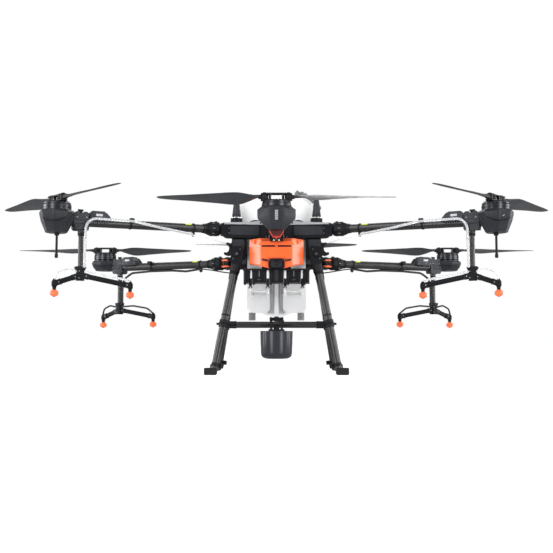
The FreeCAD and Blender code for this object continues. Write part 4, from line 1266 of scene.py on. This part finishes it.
def build_tank():
    """Blow-moulded tank: two front lobes with a valley between, ribs, and the threaded filler."""
    shape = Shape()
    shape.prism(rounded(TANK_OUTLINE, 18, 6), -TANK_HALF_DEPTH + 16, TANK_HALF_DEPTH, TANK, "y", 9,
                segments=4)
    upper = [(-114, 600), (-158, 636), (-158, 728), (-120, 752), (77, 752), (158, 691), (158, 636),
             (114, 600)]
    shape.prism(rounded(upper, 18, 6), -TANK_HALF_DEPTH, -TANK_HALF_DEPTH + 30, TANK, "y", 10, segments=4)
    for side in (-1, 1):
        lobe = [(side * 36, 266), (side * 62, 263), (side * 114, 263), (side * 114, 606), (side * 42, 606)]
        valley = [(side * 7, 252), (side * 30, 250), (side * 44, 262), (side * 44, 600), (side * 7, 600)]
        # the valley wall is painted grey: painted shade for the recess between the lobes
        shape.prism(valley, -TANK_HALF_DEPTH + 8, -TANK_HALF_DEPTH + 18, TANK_VALLEY_PAINTED_SHADE, "y", 1.5)
        shape.prism(rounded(lobe, 16, 5), -TANK_HALF_DEPTH, -TANK_HALF_DEPTH + 30, TANK, "y", 11, segments=4)
        shape.sweep([(side * 18, -TANK_HALF_DEPTH + 12, 600), (side * 17, -TANK_HALF_DEPTH + 11, 420),
                     (side * 20, -TANK_HALF_DEPTH + 12, 262)], 4, TANK, 14)
        for level in (330, 440, 550):
            shape.sweep([(side * 24, -TANK_HALF_DEPTH, level), (side * 70, -TANK_HALF_DEPTH - 0.5, level),
                         (side * 106, -TANK_HALF_DEPTH, level)], 2.2, TANK, 10)
    shape.prism(rounded([(-9, 250), (9, 250), (7, 300), (7, 606), (-7, 606), (-7, 300)], 3),
                -TANK_HALF_DEPTH, -TANK_HALF_DEPTH + 24, TANK, "y", 2.4, segments=3)
    threads = [(45, -4), (52, -4)]
    for step in range(5):
        low = 4 + 5 * step
        threads += [(50.4, low - 1.2), (52.4, low), (52.4, low + 2), (50.4, low + 3.2)]
    threads += [(50.4, 28), (45, 28), (45, -4)]
    rings = [[(x, y, height) for x, y in oval(radius, 64)] for radius, height in threads]
    shape.rings(rings, TANK, False, 0, FILLER)
    shape.turned(((0, 1), (45.2, 1), (45.2, 3)), GREY, where=FILLER)
    for low in (-15, 9):
        shape.turned(((3.2, low), (6, low), (6, low + 6), (3.2, low + 6)), GREY,
                     (LID_HINGE[0], 0, LID_HINGE[1]), "y", 24, FILLER)
        shape.block((-72, low, 18), (-50, low + 6, 28), GREY, 1.2, FILLER)
    shape.rod(3, -15.6, 15.6, STEEL, (LID_HINGE[0], 0, LID_HINGE[1]), "y", where=FILLER, count=18)
    for level in (300, 360, 420, 480, 540):
        shape.block((113, -30, level), (114.8, -14, level + 2.4), GREY, 0.4)
    shape.piece("tank_shell", "airframe", replaces=["spray_tank"], crease=40)


def build_tank_lid():
    """Lid of the filler, with its grip and hinge."""
    shape = Shape()
    shape.turned(((40, 22), (40, 28.4), (58, 28.4), (60, 30), (60, 37.4), (57, 40.3), (50, 40.8), (47, 39),
                  (20, 39.6), (0, 40)), GREY, count=64, where=FILLER)
    for step in range(30):
        rib = FILLER @ turn_z(12 * step)
        shape.block((58.6, -2.2, 29.4), (60.9, 2.2, 37.6), GREY, 0.6, rib, 1)
    shape.prism(rounded([(-38, -9), (38, -9), (38, 9), (-38, 9)], 7), 39, 52, LIGHT_GREY, bevel=3,
                where=FILLER)
    shape.prism(rounded([(34, -7), (52, -5), (52, 5), (34, 7)], 3), 39, 44, CLAMP, bevel=1.2, where=FILLER)
    shape.block((-66, -8.4, 28.6), (-50, 8.4, 37), GREY, 1.2, FILLER)
    shape.ring(3.06, 6.2, -8.6, 8.6, GREY, (LID_HINGE[0], 0, LID_HINGE[1]), "y", FILLER)
    shape.turned(((0, 40), (6, 40), (7, 42), (7, 46), (5, 48), (0, 48)), CLAMP, (-46, 0, 0), count=24,
                 where=FILLER)
    shape.piece("filler_lid", "tank_lid", replaces=["tank_lid"])


def build_battery():
    """Battery behind the tank, with its handle."""
    shape = Shape()
    shape.prism(rounded([(-93, 88), (93, 88), (93, 200), (-93, 200)], 12, 5), 571.3, 694, GREY, bevel=3,
                segments=3)
    shape.prism(rounded([(-90, 91), (90, 91), (90, 197), (-90, 197)], 12, 5), 690, 699.5, CLAMP, bevel=3)
    grip = [(-50, 699), (-50, 716), (-42, 725), (42, 725), (50, 716), (50, 699), (38, 699), (38, 710),
            (34, 714), (-34, 714), (-38, 710), (-38, 699)]
    shape.prism(grip, 135, 153, CLAMP, "y", 2)
    for level in range(9):
        z = 592 + 10.5 * level
        for side in (-1, 1):
            shape.block((side * 92.4 - 1.4, 104, z), (side * 92.4 + 1.4, 184, z + 4), CLAMP, 0.6)
        shape.block((-70, 198.6, z), (70, 201, z + 4), CLAMP, 0.6)
    for step in range(4):
        shape.block((60 + 7 * step - 30, 160, 699), (64 + 7 * step - 30, 168, 700.6), LIGHT, 0.4)
    shape.ring(4, 8, 699, 702.4, STEEL, (64, 180, 0))
    for side in (-1, 1):
        shape.block((side * 60 - 16, 199, 600), (side * 60 + 16, 203, 624), CLAMP, 1.5)
    shape.piece("battery_case", "battery", replaces=["battery"])


def build_antennas():
    """Two antennas on the front beam."""
    shape = Shape()
    top = FRONT_BEAM[1]
    for side in (-1, 1):
        at = (side * 168, -120, 0)
        shape.turned(((0, top - 2), (24.6, top - 2), (24.6, top + 5), (22.4, top + 7), (22.4, top + 22),
                      (24.4, top + 24), (24.4, top + 27), (0, top + 27)), CLAMP, at, count=40)
        for step in range(10):
            post = shift(*at) @ turn_z(36 * step)
            shape.block((21, -2.6, top + 5), (25, 2.6, top + 25), CLAMP, 1, post, 1)
        shape.ring(17, 24.6, top + 26.6, top + 31, SILVER, at)
        shape.turned(((0, top + 30), (19.6, top + 30), (19.6, top + 33), (18.6, top + 35), (12, top + 98),
                      (10.8, top + 104), (8, top + 107.4), (0, top + 108)), POD, at, count=40)
        shape.ring(16, 19.4, top + 40, top + 42, CLAMP, at)
    shape.piece("positioning_antennas", "airframe", replaces=["rtk_antennas"])


# by side of the airframe: -1 is the front pair, 1 the rear pair
LEG_TOPS = {-1: Vector((161.5, -180, 470)), 1: Vector((190, 180, 470))}
LEG_ENDS = {-1: Vector((248, -256, 10)), 1: Vector((266, 256, 10))}
FOOT_OUT = 13
CORNERS = [(side, across) for across in (-1, 1) for side in (-1, 1)]
CROSS_HEIGHT = 203


def leg_point(side, across, height):
    """Where a leg's middle line stands at a height."""
    high, low = LEG_TOPS[across], LEG_ENDS[across]
    point = high + (low - high) * (high.z - height) / (high.z - low.z)
    return Vector((side * point.x, point.y, height))


def leg_place(side, across):
    """The turn that stands +Z along a leg, from its foot up to its bracket."""
    low, high = (leg_point(side, across, table[across].z) for table in (LEG_ENDS, LEG_TOPS))
    run = high - low
    return shift(*low) @ run.to_track_quat("Z", "Y").to_matrix().to_4x4(), run.length


def clip(shape, where, height, toward):
    """Small open cable clip on the inner side of a leg."""
    place = where @ shift(0, 0, height) @ turn_z(toward)
    shape.ring(16, 18, -7, 7, CLAMP, where=place)
    shape.block((15, -5, -9), (20, 5, 9), CLAMP, 1, place)
    shape.ring(3.4, 8, -9, 9, CLAMP, where=place @ shift(25, 0, 0), count=24)


def build_legs():
    """Leg tubes with their brackets and clips."""
    shape = Shape()
    for side, across in CORNERS:
        where, length = leg_place(side, across)
        top = leg_point(side, across, LEG_TOPS[across].z)
        rings = [[(x, y, z) for x, y in oval(LEG_RADIUS, 40)] for z in (9, 10, length)]
        shape.rings(rings, CARBON, where=where)
        shape.ring(16, 20.5, length - 58, length - 6, CLAMP, where=where)
        shape.ring(16, 18.4, length - 68, length - 58, PLASTIC, where=where)
        shape.ring(16, 17.8, 232, 238, CLAMP, where=where)
        inward = where.to_3x3().inverted() @ Vector((-side, 0, 0))
        clip(shape, where, 30, math.degrees(math.atan2(inward.y, inward.x)))
        outline = [(-22, 452), (-12, 446), (14, 446), (23, 456), (22, 510), (12, 520), (-23, 520)]
        y_low, y_high = sorted((across * 158.4, across * 204))
        shape.prism(rounded([(top.x + side * x, z) for x, z in outline], 4), y_low, y_high, PLASTIC, "y", 3)
        for x, z in ((-13, 508), (15, 470)):
            shape.bolt((top.x + side * x, across * 203.8, z), STEEL, "y", 3, 2 * across)
        knob = shift(top.x, across * 204, 488) @ turn_x(-90 * across)
        shape.turned(((0, -2), (9, -2), (10, 0), (10, 8), (8, 10), (0, 10)), CLAMP, count=28, where=knob)
        shape.turned(((0, 9), (5, 9), (5, 12), (0, 12)), STEEL, count=6, where=knob)
    shape.piece("landing_leg_tubes", "airframe", replaces=["landing_legs"])


def build_feet():
    """Moulded rubber blocks, a little outboard of the legs' ends, with tread grooves."""
    shape = Shape()
    top = high_corner("leg_feet").z
    for side, across in CORNERS:
        end = leg_point(side, across, LEG_ENDS[across].z)
        x = end.x + side * FOOT_OUT
        outline = rounded([(x - 23.5, 1.5), (x + 23.5, 1.5), (x + 23.5, top), (x - 23.5, top)], 4)
        shape.prism(outline, end.y - 30, end.y + 30, RUBBER, "y", 2.4, segments=3)
        for step in range(-2, 3):
            groove_y = end.y + 11 * step
            shape.block((x - 24, groove_y - 1.6, 4), (x + 24, groove_y + 1.6, 10), CLAMP, 0.5)
    shape.piece("rubber_feet", "airframe", replaces=["leg_feet"])


def build_cross_tubes():
    """Tubes that join the legs from side to side, and their sleeves."""
    shape = Shape()
    for across in (-1, 1):
        start, end = leg_point(-1, across, CROSS_HEIGHT), leg_point(1, across, CROSS_HEIGHT)
        rings = [[(x, start.y + y, CROSS_HEIGHT + z) for y, z in oval(CROSS_RADIUS, 32)]
                 for x in (start.x, start.x + 1, end.x)]
        shape.rings(rings, CARBON)
        for side in (-1, 1):
            where = leg_place(side, across)[0]
            joint_at = leg_point(side, across, CROSS_HEIGHT)
            middle = (joint_at - where.translation).length
            shape.ring(16, 20, middle - 15, middle + 15, CLAMP, where=where)
            shape.ring(16, 20.8, middle - 4, middle + 4, PLASTIC, where=where)
            inner, outer = joint_at.x - side * 50, joint_at.x - side * 12
            at = (0, joint_at.y, CROSS_HEIGHT)
            shape.ring(8.8, 10.9, *sorted((inner, outer)), CLAMP, at, "x")
            shape.ring(8.8, 11.8, *sorted((inner, inner + side * 5)), PLASTIC, at, "x")
            stub = sorted((joint_at.x + side * 15, joint_at.x + side * 30))
            shape.rod(4.6, *stub, CLAMP, at, "x", count=20)
            shape.bolt((joint_at.x - side * 30, joint_at.y - 12, CROSS_HEIGHT), CLAMP, "y", 2.6, -1.4)
    shape.piece("cross_tube_set", "airframe", replaces=["cross_tubes"])


def build_radar():
    """Round terrain radar: glossy drum, cap ring, bracket and the clamps on the cross tube."""
    shape = Shape()
    low, high = 62, 174
    at = (0, -215, 0)
    shape.turned(((0, low), (36, low + 0.4), (47, low + 2), (56, low + 6.4), (61, low + 13), (63, low + 24),
                  (65.2, high - 6), (65.2, high - 5.4), (64.2, high - 5), (64.2, high - 4.2),
                  (65.8, high - 3.6), (65.8, high - 1), (64.8, high), (0, high + 0.4)), RADAR_DOME, at,
                 count=96)
    spot_here = leg_point(1, -1, CROSS_HEIGHT)
    shape.prism(rounded([(-32, spot_here.y - 24), (32, spot_here.y - 24), (32, spot_here.y + 28),
                         (-32, spot_here.y + 28)], 8), high - 2, high + 7, CLAMP, bevel=1.6)
    for side in (-1, 1):
        lug = [(spot_here.y - 17, high), (spot_here.y + 17, high),
               (spot_here.y + 14, CROSS_HEIGHT + 14), (spot_here.y - 14, CROSS_HEIGHT + 14)]
        shape.prism(rounded(lug, 4), *sorted((side * 16, side * 26)), CLAMP, "x", 1.4)
        shape.bolt((side * 30, spot_here.y - 18, high + 6), STEEL, radius=2.6, height=1.6)
    shape.turned(((0, high), (12, high), (12, high + 14), (9, high + 17), (0, high + 17)), CLAMP,
                 (0, spot_here.y, 0), count=28)
    lead = [(0, spot_here.y, high + 14), (2, spot_here.y + 6, high + 34),
            (12, spot_here.y + 16, high + 42), (30, spot_here.y + 10, CROSS_HEIGHT + 12)]
    shape.sweep(lead, 3.4, HOSE_BLACK, 12)
    shape.piece("radar_drum", "airframe", replaces=["radar"])


ARM = {arm.name: arm for arm in ARMS}

studio()
for arm in ARMS:
    build_arm(arm)
build_signal_latch(ARM["nose"])
for build in (build_front_beam, build_rear_beam, build_side_frames, build_front_shell, build_camera_head,
              build_pump_bank, build_tank, build_tank_lid, build_battery, build_antennas, build_legs,
              build_feet, build_cross_tubes, build_radar):
    build()

bpy.context.view_layer.update()
